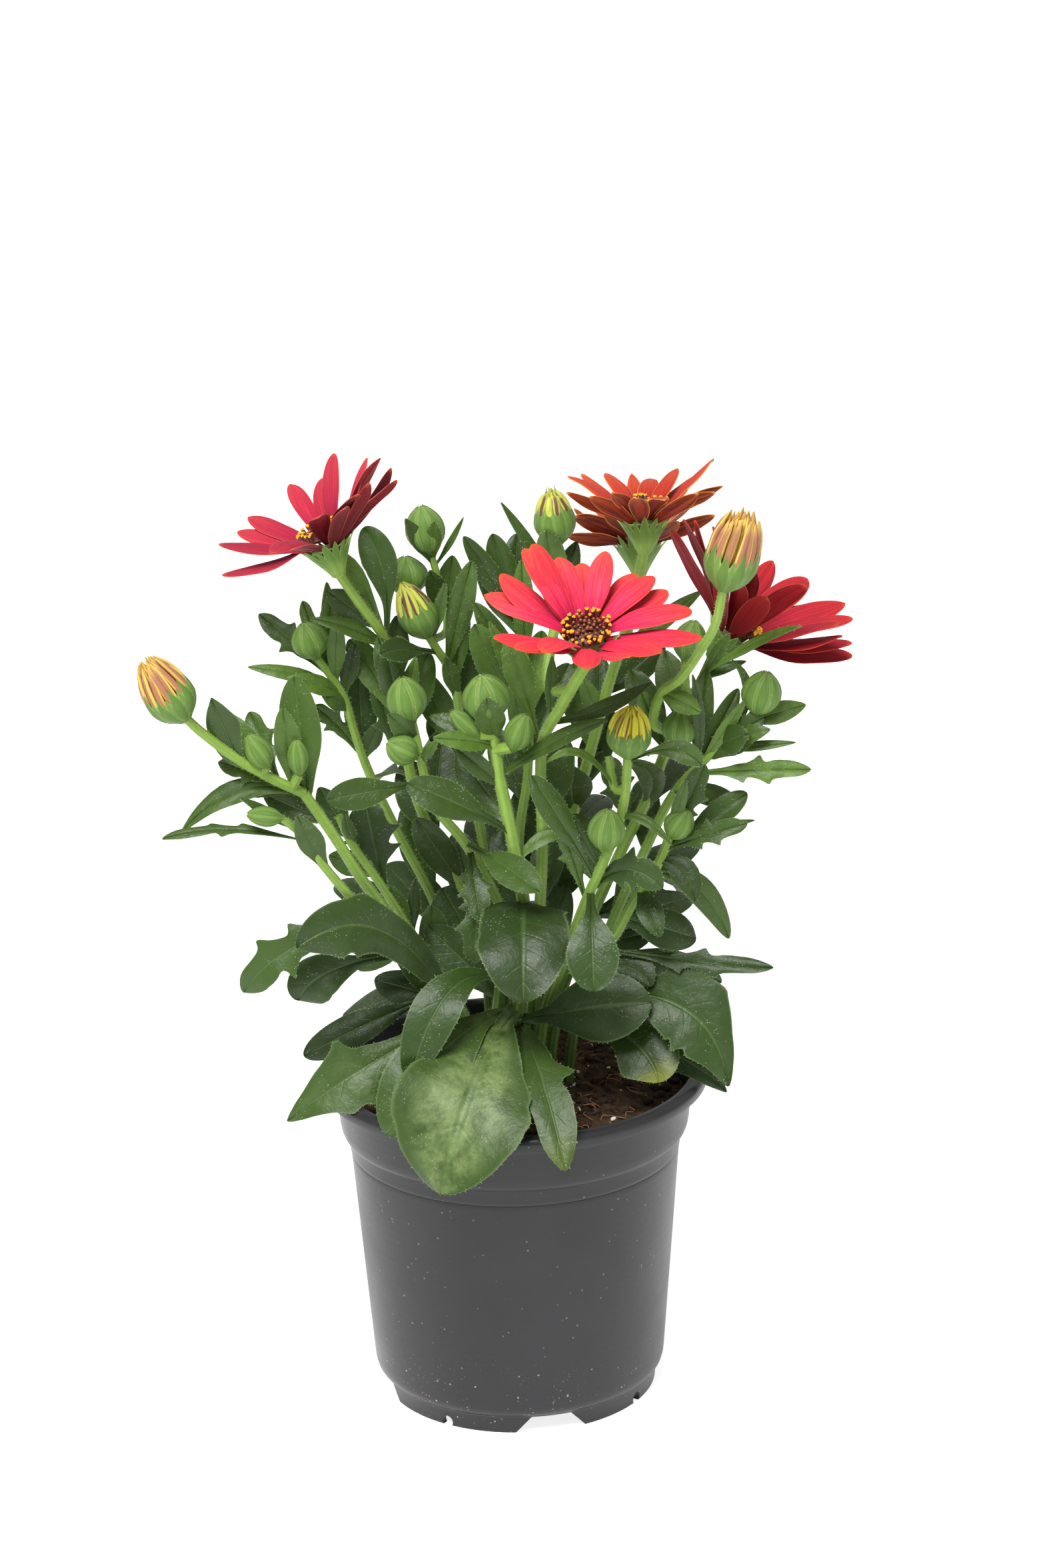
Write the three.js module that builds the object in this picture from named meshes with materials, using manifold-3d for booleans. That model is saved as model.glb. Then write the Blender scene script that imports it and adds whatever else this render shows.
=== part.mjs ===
// An osteospermum (African daisy) in a 10.5 cm nursery pot. Millimetres, +Z up, front towards -Y.
// Every leafy stem is one solid: its stem, stalks, leaves, green buds and the green cups of its heads.
import * as THREE from 'three';
import { mergeVertices } from 'three/addons/utils/BufferGeometryUtils.js';
import Module from 'manifold-3d';

const wasm = await Module();
wasm.setup();

// ---------------------------------------------------------------- driving sizes

const GAP = 0.35; // clearance between two pieces where one rests on the other
const TAU = 2 * Math.PI;

const LIP_RADIUS = 52.5;
const POT_HEIGHT = 91.6;
const FOOT_RADIUS = 37.3;
const FLOOR_UNDERSIDE = 5;
const FLOOR_TOP = 6.6;
const POT_SIDES = 36;
const NOTCH_TURN = 12.8; // degrees from the front to the middle of the first wide drain notch
const NOTCH_WIDTH = 19.3;
const NOTCH_TOP_WIDTH = 10.7;
const NOTCH_HEIGHT = 4.8;
const SMALL_NOTCH_RADIUS = 1.7;
const DRAIN_RADIUS = 3.5;
const DRAIN_CIRCLE = 27;

const SOIL_TOP = 84; // at the wall; the middle stands SOIL_CROWN higher
const SOIL_CROWN = 3;
const SOIL_SIDES = 24;
const LONG_STRETCH = 26; // a stem bends once more within a stretch longer than this
const STEM_SIDES = 4;
const STEM_GROUND = SOIL_TOP + SOIL_CROWN + 1.5; // a stem is straight up to here, clear of the soil
const ROOT_DEPTH = 10; // how far a stem reaches below that height, into its hole

const MERGE = 0.03; // corners of a join that change the surface by less than this are dropped
const LEAF_HALF_THICK = 0.7;
const SLIM_HALF_THICK = 1.1; // of a blade with a ridge on one side only
const LEAF_FOLD = 0.14; // how far the edges of a leaf rise above its midrib, against its half-width
const RAY_THICK = 0.9;
const RAY_WIDTH = 6.2;
const HUB_RADIUS = 5.8;
const CUP_DEPTH = 9.5;

// Colours: leaf, young stem, pot plastic, peat, disc florets and the rays of each head.
const GREEN = 0x3f6132;
const BLACK = 0x3a3a3c;
const PEAT = 0x2c2019;
const DISC = 0xc98a24;
const RED = 0xd6353f;
const BRONZE = 0xb5532b;
const YELLOW = 0xc9b04a;

// ---------------------------------------------------------------- places

const v = (x, y, z) => new THREE.Vector3(x, y, z);

// A place is set out on the upright plane through the middle of the pot, as it stands from the eye
// in front, and is then slid along the sight line to its own depth behind that plane.
const EYE = v(4, -1138, 552.5);
const seen = (x, z, depth) => EYE.clone().lerp(v(x, 0, z), (depth - EYE.y) / -EYE.y);
const spotOf = (point) => EYE.clone().lerp(point, -EYE.y / (point.y - EYE.y));

// The direction that an upper face looks in: 0 is straight up, 90 is towards the front.
const facingOf = (degrees) => {
  const turn = THREE.MathUtils.degToRad(degrees);
  return v(0, -Math.sin(turn), Math.cos(turn));
};

// ---------------------------------------------------------------- solids

function solidOf(corners, faces) {
  const vertProperties = new Float32Array(corners.flatMap((p) => [p.x, p.y, p.z]));
  const build = (list) => {
    const mesh = new wasm.Mesh({ numProp: 3, vertProperties, triVerts: new Uint32Array(list.flat()) });
    return new wasm.Manifold(mesh);
  };
  const solid = build(faces);
  return solid.volume() > 0 ? solid : build(faces.map(([a, b, c]) => [a, c, b]));
}

// A closed skin over a row of rings. A ring of one point is a tip, and both faces of a blade, which
// are the two halves of its rings, are split into triangles alike.
function skin(rings) {
  const corners = rings.flat();
  const faces = [];
  const cap = (first, count, flip) => {
    for (let j = 1; j < count - 1; j++) {
      faces.push(flip ? [first, first + j + 1, first + j] : [first, first + j, first + j + 1]);
    }
  };
  cap(0, rings[0].length, false);
  let start = 0;
  rings.slice(0, -1).forEach((ring, i) => {
    const next = rings[i + 1];
    const ahead = start + ring.length;
    const count = Math.max(ring.length, next.length);
    for (let j = 0; j < count; j++) {
      const k = (j + 1) % count;
      const [near, nearNext, far, farNext] = [start + j, start + k, ahead + j, ahead + k];
      if (ring.length === 1) faces.push([start, far, farNext]);
      else if (next.length === 1) faces.push([near, ahead, nearNext]);
      else if (j < count / 2) faces.push([near, far, farNext], [near, farNext, nearNext]);
      else faces.push([near, far, nearNext], [nearNext, far, farNext]);
    }
    start = ahead;
  });
  cap(start, rings.at(-1).length, true);
  return solidOf(corners, faces);
}

function solidFrom(geometry) {
  geometry.deleteAttribute('normal');
  geometry.deleteAttribute('uv');
  const merged = mergeVertices(geometry, 1e-4);
  const place = merged.getAttribute('position');
  const corners = Array.from({ length: place.count }, (_, i) => v().fromBufferAttribute(place, i));
  const faces = [];
  for (let i = 0; i < merged.index.count; i += 3) faces.push([...merged.index.array.slice(i, i + 3)]);
  return solidOf(corners, faces);
}

const join = (solids) => wasm.Manifold.union(solids);

function meshOf(name, solid, color, roughness = 0.75) {
  const { numProp, vertProperties, triVerts } = solid.getMesh();
  if (numProp !== 3) throw new Error(`${name} carries more than positions`);
  const geometry = new THREE.BufferGeometry();
  geometry.setAttribute('position', new THREE.BufferAttribute(new Float32Array(vertProperties), 3));
  geometry.setIndex(Array.from(triVerts));
  geometry.computeVertexNormals();
  const mesh = new THREE.Mesh(geometry, new THREE.MeshStandardMaterial({ color, roughness }));
  mesh.name = name;
  return mesh;
}

// ---------------------------------------------------------------- stems, leaves, buds and heads

// Outlines of leaves: [share of the length, left half-width, right half-width], 1 being the widest.
const SPOON = [[0, 0.16], [0.26, 0.22], [0.46, 0.7], [0.68, 1], [0.9, 0.72], [1, 0]];
const OVAL = [[0, 0.2], [0.2, 0.52], [0.5, 1], [0.84, 0.72], [1, 0]];
const LANCE = [[0, 0.3], [0.3, 0.75], [0.55, 1], [0.8, 0.62], [1, 0]];
const BROAD = [
  [0, 0.1], [0.2, 0.14], [0.4, 0.5], [0.56, 0.86], [0.7, 1, 1.02], [0.82, 0.8, 0.86],
  [0.94, 0.44], [1, 0],
];
const TOOTHED = [
  [0, 0.16], [0.26, 0.28], [0.42, 0.6, 0.85], [0.48, 0.76, 0.54], [0.58, 1, 0.78], [0.64, 0.68, 1],
  [0.82, 0.7, 0.6], [1, 0],
];
const LOBED = [[0, 0.3], [0.14, 0.5], [0.36, 0.6], [0.57, 0.85], [0.72, 0.85, 0.7], [0.88, 0.6, 0.5], [1, 0]];
const FAN = [[0, 0.35], [0.1, 0.66], [0.22, 1.05, 0.95], [0.34, 0.8, 0.84], [0.56, 0.8], [0.8, 0.6], [1, 0]];
const CORNERED = [
  [0, 0.16], [0.3, 0.45], [0.42, 1.25, 0.8], [0.5, 1.7, 0.92], [0.6, 1.1, 1], [0.74, 0.5, 0.78],
  [0.88, 0.24, 0.4], [1, 0],
];
const DRAWN_OUT = [
  [0, 0.16], [0.3, 0.3], [0.48, 0.6], [0.57, 1, 1.15], [0.67, 0.92, 0.72], [0.8, 0.5], [1, 0],
];
const SMALL = [[0, 0.3], [0.45, 1], [0.8, 0.7], [1, 0]];
const OUTLINES = {
  spoon: SPOON, oval: OVAL, lance: LANCE, broad: BROAD, toothed: TOOTHED, lobed: LOBED, fan: FAN,
  cornered: CORNERED, drawn: DRAWN_OUT,
};
const RAY = [[0, 0.26], [0.45, 0.96], [0.88, 0.82], [1, 0]];
const PETIOLE = 0.7; // widest half-width where a leaf leaves its stem
const TIP_THINNING = 0.7;

// A blade along a bowed midrib: thick at the rib, sharp at its edges, folded up along the rib. A
// small one has its thickness on one side only: 1 puts the rib's ridge on top, -1 puts it below.
function blade(from, to, shape) {
  const { width, outline, facing, bow = 0, middle } = shape;
  const { half = LEAF_HALF_THICK, fold = LEAF_FOLD, ridge = 0 } = shape;
  const chord = to.clone().sub(from);
  const length = chord.length();
  const dir = chord.divideScalar(length);
  const upper = facing.clone().addScaledVector(dir, -facing.dot(dir)).normalize();
  const between = from.clone().lerp(to, 0.5);
  const peak = middle ?? between.clone().addScaledVector(upper, bow * length);
  const knee = peak.clone().multiplyScalar(2).sub(between);
  const rib = new THREE.QuadraticBezierCurve3(from, knee, to);
  return skin(outline.map(([share, left, right = left]) => {
    const at = rib.getPoint(share);
    if (left === 0) return [at];
    const along = rib.getTangent(share);
    const side = along.clone().cross(upper).normalize();
    const out = side.clone().cross(along);
    const edge = (wide, way) => {
      const reach = share === 0 ? Math.min(wide * width / 2, PETIOLE) : wide * width / 2;
      return at.clone().addScaledVector(side, way * reach).addScaledVector(out, fold * reach);
    };
    const thick = half * (share < 0.9 ? 1 : TIP_THINNING);
    const above = at.clone().addScaledVector(out, thick);
    const below = at.clone().addScaledVector(out, -thick);
    if (ridge > 0) return [edge(left, -1), above, edge(right, 1)];
    if (ridge < 0) return [edge(left, -1), edge(right, 1), below];
    return [edge(left, -1), above, edge(right, 1), below];
  }));
}

// Rings of points round an axis: each row is [height, radius] or [height, radius, height, radius],
// the second pair being for every other point, so that a rim can be cut into teeth.
function turned(origin, axis, rows, sides) {
  const frame = new THREE.Quaternion().setFromUnitVectors(v(0, 0, 1), axis);
  return skin(rows.map(([height, radius, otherHeight = height, otherRadius = radius]) => {
    const point = (j) => {
      const odd = j % 2;
      const angle = TAU * j / sides;
      const reach = odd ? otherRadius : radius;
      const local = v(reach * Math.cos(angle), reach * Math.sin(angle), odd ? otherHeight : height);
      return local.applyQuaternion(frame).add(origin);
    };
    if (radius === 0) return [v(0, 0, height).applyQuaternion(frame).add(origin)];
    return Array.from({ length: sides }, (_, j) => point(j));
  }));
}

// A round stem through its points, tapering from one radius to another, with a blunt tip. It has a
// ring at each point and one more in the middle of a long stretch.
function tube(points, fromRadius, toRadius) {
  const curve = new THREE.CatmullRomCurve3(points, false, 'centripetal');
  const stretches = points.length - 1;
  const places = points.flatMap((point, i) => {
    const long = i < stretches && point.distanceTo(points[i + 1]) > LONG_STRETCH;
    return long ? [i / stretches, (i + 0.5) / stretches] : [i / stretches];
  });
  const rings = places.map((place) => {
    const at = curve.getPoint(place);
    const along = curve.getTangent(place);
    const back = v(0, 1, 0).addScaledVector(along, -along.y).normalize();
    const side = along.clone().cross(back);
    const radius = THREE.MathUtils.lerp(fromRadius, toRadius, place);
    return Array.from({ length: STEM_SIDES }, (_, j) => at.clone()
      .addScaledVector(side, radius * Math.cos(TAU * j / STEM_SIDES))
      .addScaledVector(back, radius * Math.sin(TAU * j / STEM_SIDES)));
  });
  const tip = curve.getPoint(1).addScaledVector(curve.getTangent(1), toRadius * 0.6);
  return { curve, solid: skin([...rings, [tip]]) };
}

const BUD_ROWS = [[0, 0.3], [0.14, 0.66], [0.42, 1], [0.78, 0.74], [1, 0]];
const BUD_SIDES = 8;
const BUD_RIB = 0.88; // the groove between two bracts, against the radius over them

// A closed bud: its green bracts lie against each other in ribs.
function closedBud(base, top, width) {
  const axis = top.clone().sub(base);
  const height = axis.length();
  const rows = BUD_ROWS.map(([share, wide]) => {
    const radius = wide * width / 2;
    return [share * height, radius, share * height, radius * BUD_RIB];
  });
  return turned(base, axis.normalize(), rows, BUD_SIDES);
}

// An opening bud: a green cup with a toothed rim, and the rolled rays that stand in it.
function openingBud(base, top, width, split) {
  const axis = top.clone().sub(base);
  const height = axis.length();
  const dir = axis.normalize();
  const r = width / 2;
  const rim = split * height;
  const tooth = 0.09 * height;
  const cup = turned(base, dir, [
    [0, 0.2 * r], [0.13 * rim, 0.55 * r], [0.6 * rim, 0.97 * r],
    [rim + tooth, 0.98 * r, rim - tooth, r], [rim - 2 * tooth, 0],
  ], 10);
  const foot = rim - 2 * tooth + GAP;
  const rays = turned(base, dir, [
    [foot, 0], [rim + tooth + GAP, 0.96 * r, rim - tooth + GAP, r],
    [0.55 * height + 0.45 * rim, 0.9 * r, 0.55 * height + 0.45 * rim, 0.76 * r],
    [height, 0.46 * r, 0.9 * height, 0.36 * r], [0.84 * height, 0],
  ], 10);
  return { cup, rays };
}

const CUP_ROWS = [
  [-CUP_DEPTH, 1.2], [-7.4, 2.2], [-4.6, 4.5], [-1.4, 6.3, -2.6, 6], [-1.9, 0],
];
const HUB_ROWS = [[-1, 0], [-1, HUB_RADIUS], [1, HUB_RADIUS], [1, 0]];
const DISC_ROWS = [[1.9, 0], [1.9, 3.6], [3.6, 5.3, 2.8, 4.4], [2.9, 3.2], [3.3, 0]];
const HIGH_BOW = 0.08; // rays of the upper layer arch more than those of the lower one
const LOW_BOW = 0.02;
const LAYER = 0.62; // every other ray lies this far above the middle of the hub, the rest below it

// An open head: its green cup, its ring of rays, each reaching to its own tip, and its disc.
function openHead({ at, axis, length, rays }) {
  const middle = seen(...at);
  const pole = v(...axis).normalize();
  const cup = turned(middle, pole, CUP_ROWS, 10);
  const disc = turned(middle, pole, DISC_ROWS, 12);
  const blades = rays.map(([x, z, way, share = 1, bow, turn = 0], i) => {
    const flat = seen(x, z, middle.y);
    const across = flat.distanceTo(middle);
    const reach = length * share;
    const away = way * Math.sqrt(Math.max(0, reach * reach - across * across));
    const tip = seen(x, z, middle.y + away);
    const out = tip.clone().sub(middle);
    const root = out.clone().addScaledVector(pole, -out.dot(pole)).setLength(HUB_RADIUS - 0.9).add(middle);
    const lift = pole.clone().multiplyScalar(i % 2 ? LAYER : -LAYER);
    const dir = tip.clone().sub(root).normalize();
    const facing = pole.clone().applyAxisAngle(dir, THREE.MathUtils.degToRad(turn));
    return blade(root.add(lift), tip.add(lift), {
      width: RAY_WIDTH, outline: RAY, facing, bow: bow ?? (i % 2 ? HIGH_BOW : LOW_BOW),
      half: RAY_THICK, fold: 0, ridge: 1,
    });
  });
  const ring = join([turned(middle, pole, HUB_ROWS, 10), ...blades]);
  return { cup, ring, disc, foot: middle.clone().addScaledVector(pole, 1 - CUP_DEPTH) };
}

// ---------------------------------------------------------------- the plant's layout
// stems: [x, z, depth] points. The first stem rises from its root, which is [x, y] on the soil; each
// further one is a stalk that leaves the nearest stem. leaves: [x, z of the leaf's foot, x, z of its
// tip, depth of the tip against the foot, width, bow, facing, outline], and where a bow won't do,
// [..., x, z of the midrib's middle, how far that middle stands forward]. buds: [x, z, depth of the
// base, x, z, depth of the top, width], and opening buds add the share of their height that is cup.

const SHOOTS = [
  {
    name: 'shoot_centre_front',
    root: [0, -5],
    radius: [2, 1.7],
    stems: [
      [[1, 102, -6], [4, 132, -12], [1.5, 153, -14], [-2, 173, -14]],
      [[-3, 182, -14], [-4, 190.5, -14]],
      [[1.5, 182, -17]],
      [[-7.3, 185.5, -16]],
    ],
    buds: [
      [-4, 190, -14, -6.2, 202, -16, 11.5],
      [1.7, 181.5, -17, 5.3, 191, -19, 7],
      [-7.3, 185, -16, -14.5, 192.5, -17, 4.8],
    ],
    leaves: [
      [-2.5, 172, -14, 183, -3, 5.5, 0.05, 70, 'toothed'],
      [-3, 184, -5, 196, -9, 8, 0.04, 80, 'spoon'],
      [-6, 182, -19.5, 185, -7, 5.4, 0.1, 60, 'spoon'],
      [-6.5, 184, -20, 191, 4, 5, 0.08, 50, 'spoon'],
      [-1, 174, 27, 189, -8, 5, 0, 45, 'lance', 13, 183.5],
      [1.3, 158, -26.5, 172.5, -6, 10.5, 0.1, 55, 'spoon'],
      [2, 150, 16, 157, 3, 4, 0, 45, 'lance', 8.5, 156],
      [0, 161, -13, 181, 9, 11, 0, 85, 'oval'],
      [3.8, 138, 3, 109.5, -30, 25.5, 0.22, 45, 'fan'],
      [1, 108, -21.5, 54, -53, 37, 0.2, 35, 'broad'],
      [0.6, 107, -36, 72, -38, 21, 0.22, 35, 'spoon'],
      [1.5, 114, -28.5, 87, -33, 13, 0, 45, 'spoon', -15, 115, 5],
      [0.8, 103, 13.5, 60, -52, 17, 0.2, 35, 'toothed'],
      [0.9, 104, 37.5, 109, -16, 19, 0.12, 62, 'spoon'],
    ],
  },
  {
    name: 'shoot_centre_left',
    root: [-6, -1],
    radius: [1.6, 1.2],
    stems: [
      [
        [-4.5, 104, -2], [-2, 134, -3], [-6.5, 146, -4], [-12, 156, -5], [-20, 167, -8],
        [-22.5, 178, -10], [-25, 190.5, -10],
      ],
      [[-24.2, 181, -13]],
    ],
    buds: [
      [-25, 190, -10, -27.2, 202, -11, 9.5],
      [-24, 180, -13, -31.5, 184, -15, 7.5],
    ],
    leaves: [
      [-11, 155, 8, 141, -25, 9.5, 0.08, 50, 'spoon'],
      [-10.5, 154, -8, 133, -14, 9.5, 0.12, 55, 'toothed'],
      [-8, 149, -10, 121, -11, 11, 0.1, 60, 'toothed'],
      [-21.5, 173, -48, 168.5, -10, 8.6, 0.04, 70, 'spoon'],
      [-18, 166, -17, 185, 9, 10, 0, 85, 'toothed'],
      [-4, 112, -22, 132, 7, 12, 0, 80, 'oval'],
      [-24, 184, -31, 192, -5, 6, 0.08, 70, 'oval'],
      [-22.5, 179, -18, 184.5, -4, 3, 0.1, 60, 'lance'],
      [-3, 122, -2, 147, 9, 9, 0, 85, 'oval'],
    ],
  },
  {
    name: 'shoot_bloom_left',
    root: [-6, 6],
    radius: [1.6, 1.3],
    stems: [
      [
        [-6, 108, 7], [-9, 135, 9], [-17, 151, 8], [-24, 168, 8], [-27, 185, 6], [-29, 204, 4],
        [-32, 214, 2], [-36, 220, 0], [-42.3, 229.5, -3],
      ],
    ],
    heads: ['bloom_left'],
    leaves: [
      [-31, 211, -36, 243, 6, 9.5, 0, 80, 'spoon', -31, 229],
      [-31, 212, -45.5, 234.5, 8, 5, 0, 80, 'spoon', -39, 231],
      [-31, 210, -50.5, 218.5, -4, 5.5, 0.12, 40, 'lance'],
      [-28.7, 200, -33, 213, -9, 7.4, 0.08, 70, 'oval'],
      [-27.8, 192, -31, 209.5, -11, 7.6, 0.04, 80, 'oval'],
      [-27.2, 190, -23.5, 207, -9, 5, 0, 80, 'oval'],
      [-13, 141, -24.5, 162.5, -8, 9.5, 0, 85, 'oval'],
      [-20, 157, -27, 179, 9, 12, 0, 85, 'oval'],
      [-27.5, 190, -41, 213, 9, 8, 0, 75, 'oval', -35, 204],
      [-25, 174, -34, 201, 1, 8, 0, 75, 'toothed', -30.5, 188],
      [-9, 134, -14, 159, 12, 11, 0, 80, 'oval'],
      [-8, 122, -18, 143, 6, 13, 0.05, 70, 'spoon'],
      [-9.5, 136, -19, 130, 32, 12, 0.15, 25, 'spoon'],
      [-25, 174, -36, 171.5, 24, 11, 0.12, 30, 'spoon'],
      [-34, 217, -46, 226, 4, 8, 0, 75, 'oval'],
      [-27, 186, -20, 209, 8, 9, 0, 85, 'oval'],
      [-28.5, 200, -28, 219, 5, 7, 0, 85, 'oval'],
    ],
  },
  {
    name: 'shoot_bud_left',
    root: [-12, 10],
    radius: [1.5, 1.1],
    stems: [
      [
        [-14, 110, 15], [-20, 138, 19], [-30, 160, 18], [-37, 177, 15], [-40, 187, 12], [-43, 198, 9],
        [-49.3, 208, 6],
      ],
    ],
    buds: [
      [-49.5, 208, 6, -52.5, 217.5, 5, 9],
    ],
    leaves: [
      [-46, 203, -64, 220, 4, 8.5, 0.08, 60, 'toothed'],
      [-43.5, 199, -67.5, 205.5, -4, 4.5, 0.08, 45, 'lance'],
      [-43, 198, -57.5, 202.5, -8, 5.5, 0.12, 55, 'spoon'],
      [-45, 202, -43.5, 219, -5, 5, 0.05, 85, 'lance'],
      [-43, 197, -39, 211.5, 0, 5, 0, 85, 'toothed'],
      [-46, 204, -44.8, 225, 6, 6, 0, 85, 'oval'],
      [-45, 202, -46, 228.5, 11, 5, 0, 85, 'lance'],
      [-47, 205, -52.5, 223.5, 9, 6, 0, 80, 'toothed'],
      [-42, 194, -48.5, 198, -6, 5, 0.1, 60, 'oval'],
      [-38, 179, -50.5, 194.5, -4, 7, 0, 75, 'toothed', -44.5, 189],
      [-17, 128, -33, 150, 20, 12, 0.1, 40, 'spoon'],
      [-15, 117, -45.5, 107, 28, 10, 0, 40, 'spoon', -31, 112, 2],
      [-37.5, 179, -33, 190, -3, 5, 0, 80, 'oval'],
      [-38, 180, -38.5, 203, 4, 9, 0, 85, 'oval'],
      [-21, 141, -27, 167, 6, 10, 0, 80, 'oval'],
      [-16, 124, -22, 146, 3, 8, 0, 80, 'oval'],
    ],
  },
  {
    name: 'shoot_left',
    root: [-13, 0],
    radius: [1.6, 1.4],
    stems: [
      [[-14, 106, -2], [-25, 125, -11], [-39.5, 146, -18], [-46, 157.5, -20], [-54, 170.5, -22]],
      [[-62, 174.5, -25], [-72, 181, -30], [-81, 188.5, -36], [-84.4, 192, -38]],
      [[-55, 176, -26]],
      [[-63.3, 178.5, -27]],
    ],
    opening: [
      ['bud_far_left', -84.4, 191.5, -38, -94.8, 208.5, -40, 12.8, 0.42],
    ],
    buds: [
      [-55, 175.5, -26, -55.5, 185.5, -27, 5],
      [-63.3, 178, -27, -68.5, 187, -28, 6.5],
    ],
    leaves: [
      [-54, 170.5, -87, 160, -4, 6.5, 0, 50, 'lance', -71.5, 171.5],
      [-71, 180.5, -77.5, 197, -6, 8.5, 0, 75, 'lance'],
      [-63, 176, -77.5, 193, 5, 11, 0.04, 80, 'oval'],
      [-60, 174.5, -67.5, 193.5, 9, 8.5, 0, 80, 'toothed'],
      [-56, 172, -58.8, 194, -3, 7, 0.03, 85, 'oval'],
      [-53, 169, -55.5, 203, 7, 11, 0, 85, 'oval'],
      [-58, 173, -76.5, 180, 3, 8, 0.05, 55, 'toothed'],
      [-55, 171, -77, 172.5, 8, 5, 0.05, 60, 'lance'],
      [-49, 162, -65, 170.5, 7, 8, 0, 75, 'oval'],
    ],
  },
  {
    name: 'shoot_left_low',
    root: [-9, -8],
    radius: [1.5, 1.1],
    stems: [
      [[-13, 106, -12], [-26, 123, -19], [-41, 139, -27], [-49.5, 150, -29], [-56, 160, -30]],
      [[-60.3, 163.6, -33]],
    ],
    buds: [
      [-60, 163.5, -33, -69.5, 164.8, -34, 5],
    ],
    leaves: [
      [-18, 113, -57.5, 126.5, -25, 19, 0, 62, 'lobed', -37, 132, 3],
      [-36, 135, -73, 113.5, -5, 13.5, 0, 65, 'toothed', -59, 126.5, 3],
      [-27, 124, -58, 111, -6, 13, 0, 65, 'spoon', -48, 120, 2],
      [-14, 106, -62, 76.5, -14, 19, 0, 60, 'drawn', -40, 92, 6],
      [-54, 158, -92.5, 159.5, -2, 5.5, 0.08, 25, 'toothed'],
      [-49.5, 150, -56, 164, -5, 7, 0, 80, 'toothed'],
      [-56, 160, -70.5, 169.5, -4, 3, 0, 50, 'lance'],
    ],
  },
  {
    name: 'shoot_left_inner',
    root: [-15, 5],
    radius: [1.5, 1.1],
    stems: [
      [[-17, 108, 5], [-25, 127, 0], [-33, 142, -6], [-42, 156.5, -8], [-45, 164, -8]],
    ],
    leaves: [
      [-34, 144, -38, 168, 4, 16, 0, 85, 'toothed'],
      [-41, 155, -43.5, 164, -4, 3.5, 0, 80, 'lance'],
      [-20, 112, -57, 95.5, -3, 10, 0, 60, 'spoon', -37, 105.5],
      [-17, 108, -31, 126, -5, 9, 0, 80, 'oval', -23, 118],
      [-26, 130, -47, 146, 22, 10, 0.1, 40, 'oval'],
      [-26, 129, -41, 120, 2, 7, 0.1, 50, 'oval'],
      [-27, 131, -32, 144, -5, 5, 0, 80, 'spoon'],
      [-26.5, 130, -25, 146, -4, 3.5, 0, 80, 'lance'],
      [-43, 158, -50, 172, 4, 8, 0, 85, 'toothed'],
      [-19, 114, -21, 138, 2, 9, 0, 80, 'oval'],
      [-36, 147, -48, 153, 5, 7, 0.1, 60, 'oval'],
      [-18, 110, -37, 117, 5, 10, 0.08, 60, 'oval'],
    ],
  },
  {
    name: 'shoot_bloom_front',
    root: [4, 2],
    radius: [1.6, 1.5],
    stems: [
      [[5, 104, 0], [8, 138, -5], [9, 155, -8], [9.5, 183, -12], [14, 192, -20], [20.5, 203, -33.5]],
      [[11, 200, -4], [14, 220, 5], [14.5, 238, 6]],
    ],
    heads: ['bloom_front'],
    opening: [
      ['bud_top', 14.5, 237.5, 6, 12.8, 252.5, 5, 10.5, 0.66],
    ],
    leaves: [
      [12, 188, 38, 199.5, -3, 4.6, 0, 45, 'lance', 26, 192.5],
      [9, 160, 16, 184, 9, 9, 0, 85, 'oval'],
      [9.5, 182, 1, 212, 4, 7.5, 0, 80, 'spoon'],
      [10.5, 190, 12.5, 207, 4, 3.5, 0, 80, 'lance'],
      [14.2, 224, 11.5, 241, -6, 8, 0, 85, 'oval'],
      [14.2, 223, 19.5, 238, 5, 6, 0, 85, 'oval'],
      [14, 226, -0.2, 249, 0, 3, 0.03, 60, 'lance'],
      [8, 138, 12, 160, 9, 9, 0, 85, 'oval'],
      [6.5, 120, 15, 143, 9, 10, 0, 80, 'oval'],
    ],
  },
  {
    name: 'shoot_buds_back',
    root: [-1, 10],
    radius: [1.5, 1.1],
    stems: [
      [[-2, 112, 13], [-6, 150, 17], [-11, 180, 16], [-14, 203, 12], [-17.5, 209, 9], [-20, 213.5, 7]],
      [[-15, 215, 16], [-17.5, 231, 16], [-19, 236.5, 16]],
      [[-22, 215, 17], [-25, 225, 18]],
    ],
    opening: [
      ['bud_left_back', -20, 213, 7, -26.5, 228, 4, 10, 0.55],
    ],
    buds: [
      [-19, 236, 16, -21, 248.5, 15, 9.5],
      [-25, 224.5, 18, -25.2, 235, 18, 10.5],
    ],
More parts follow.
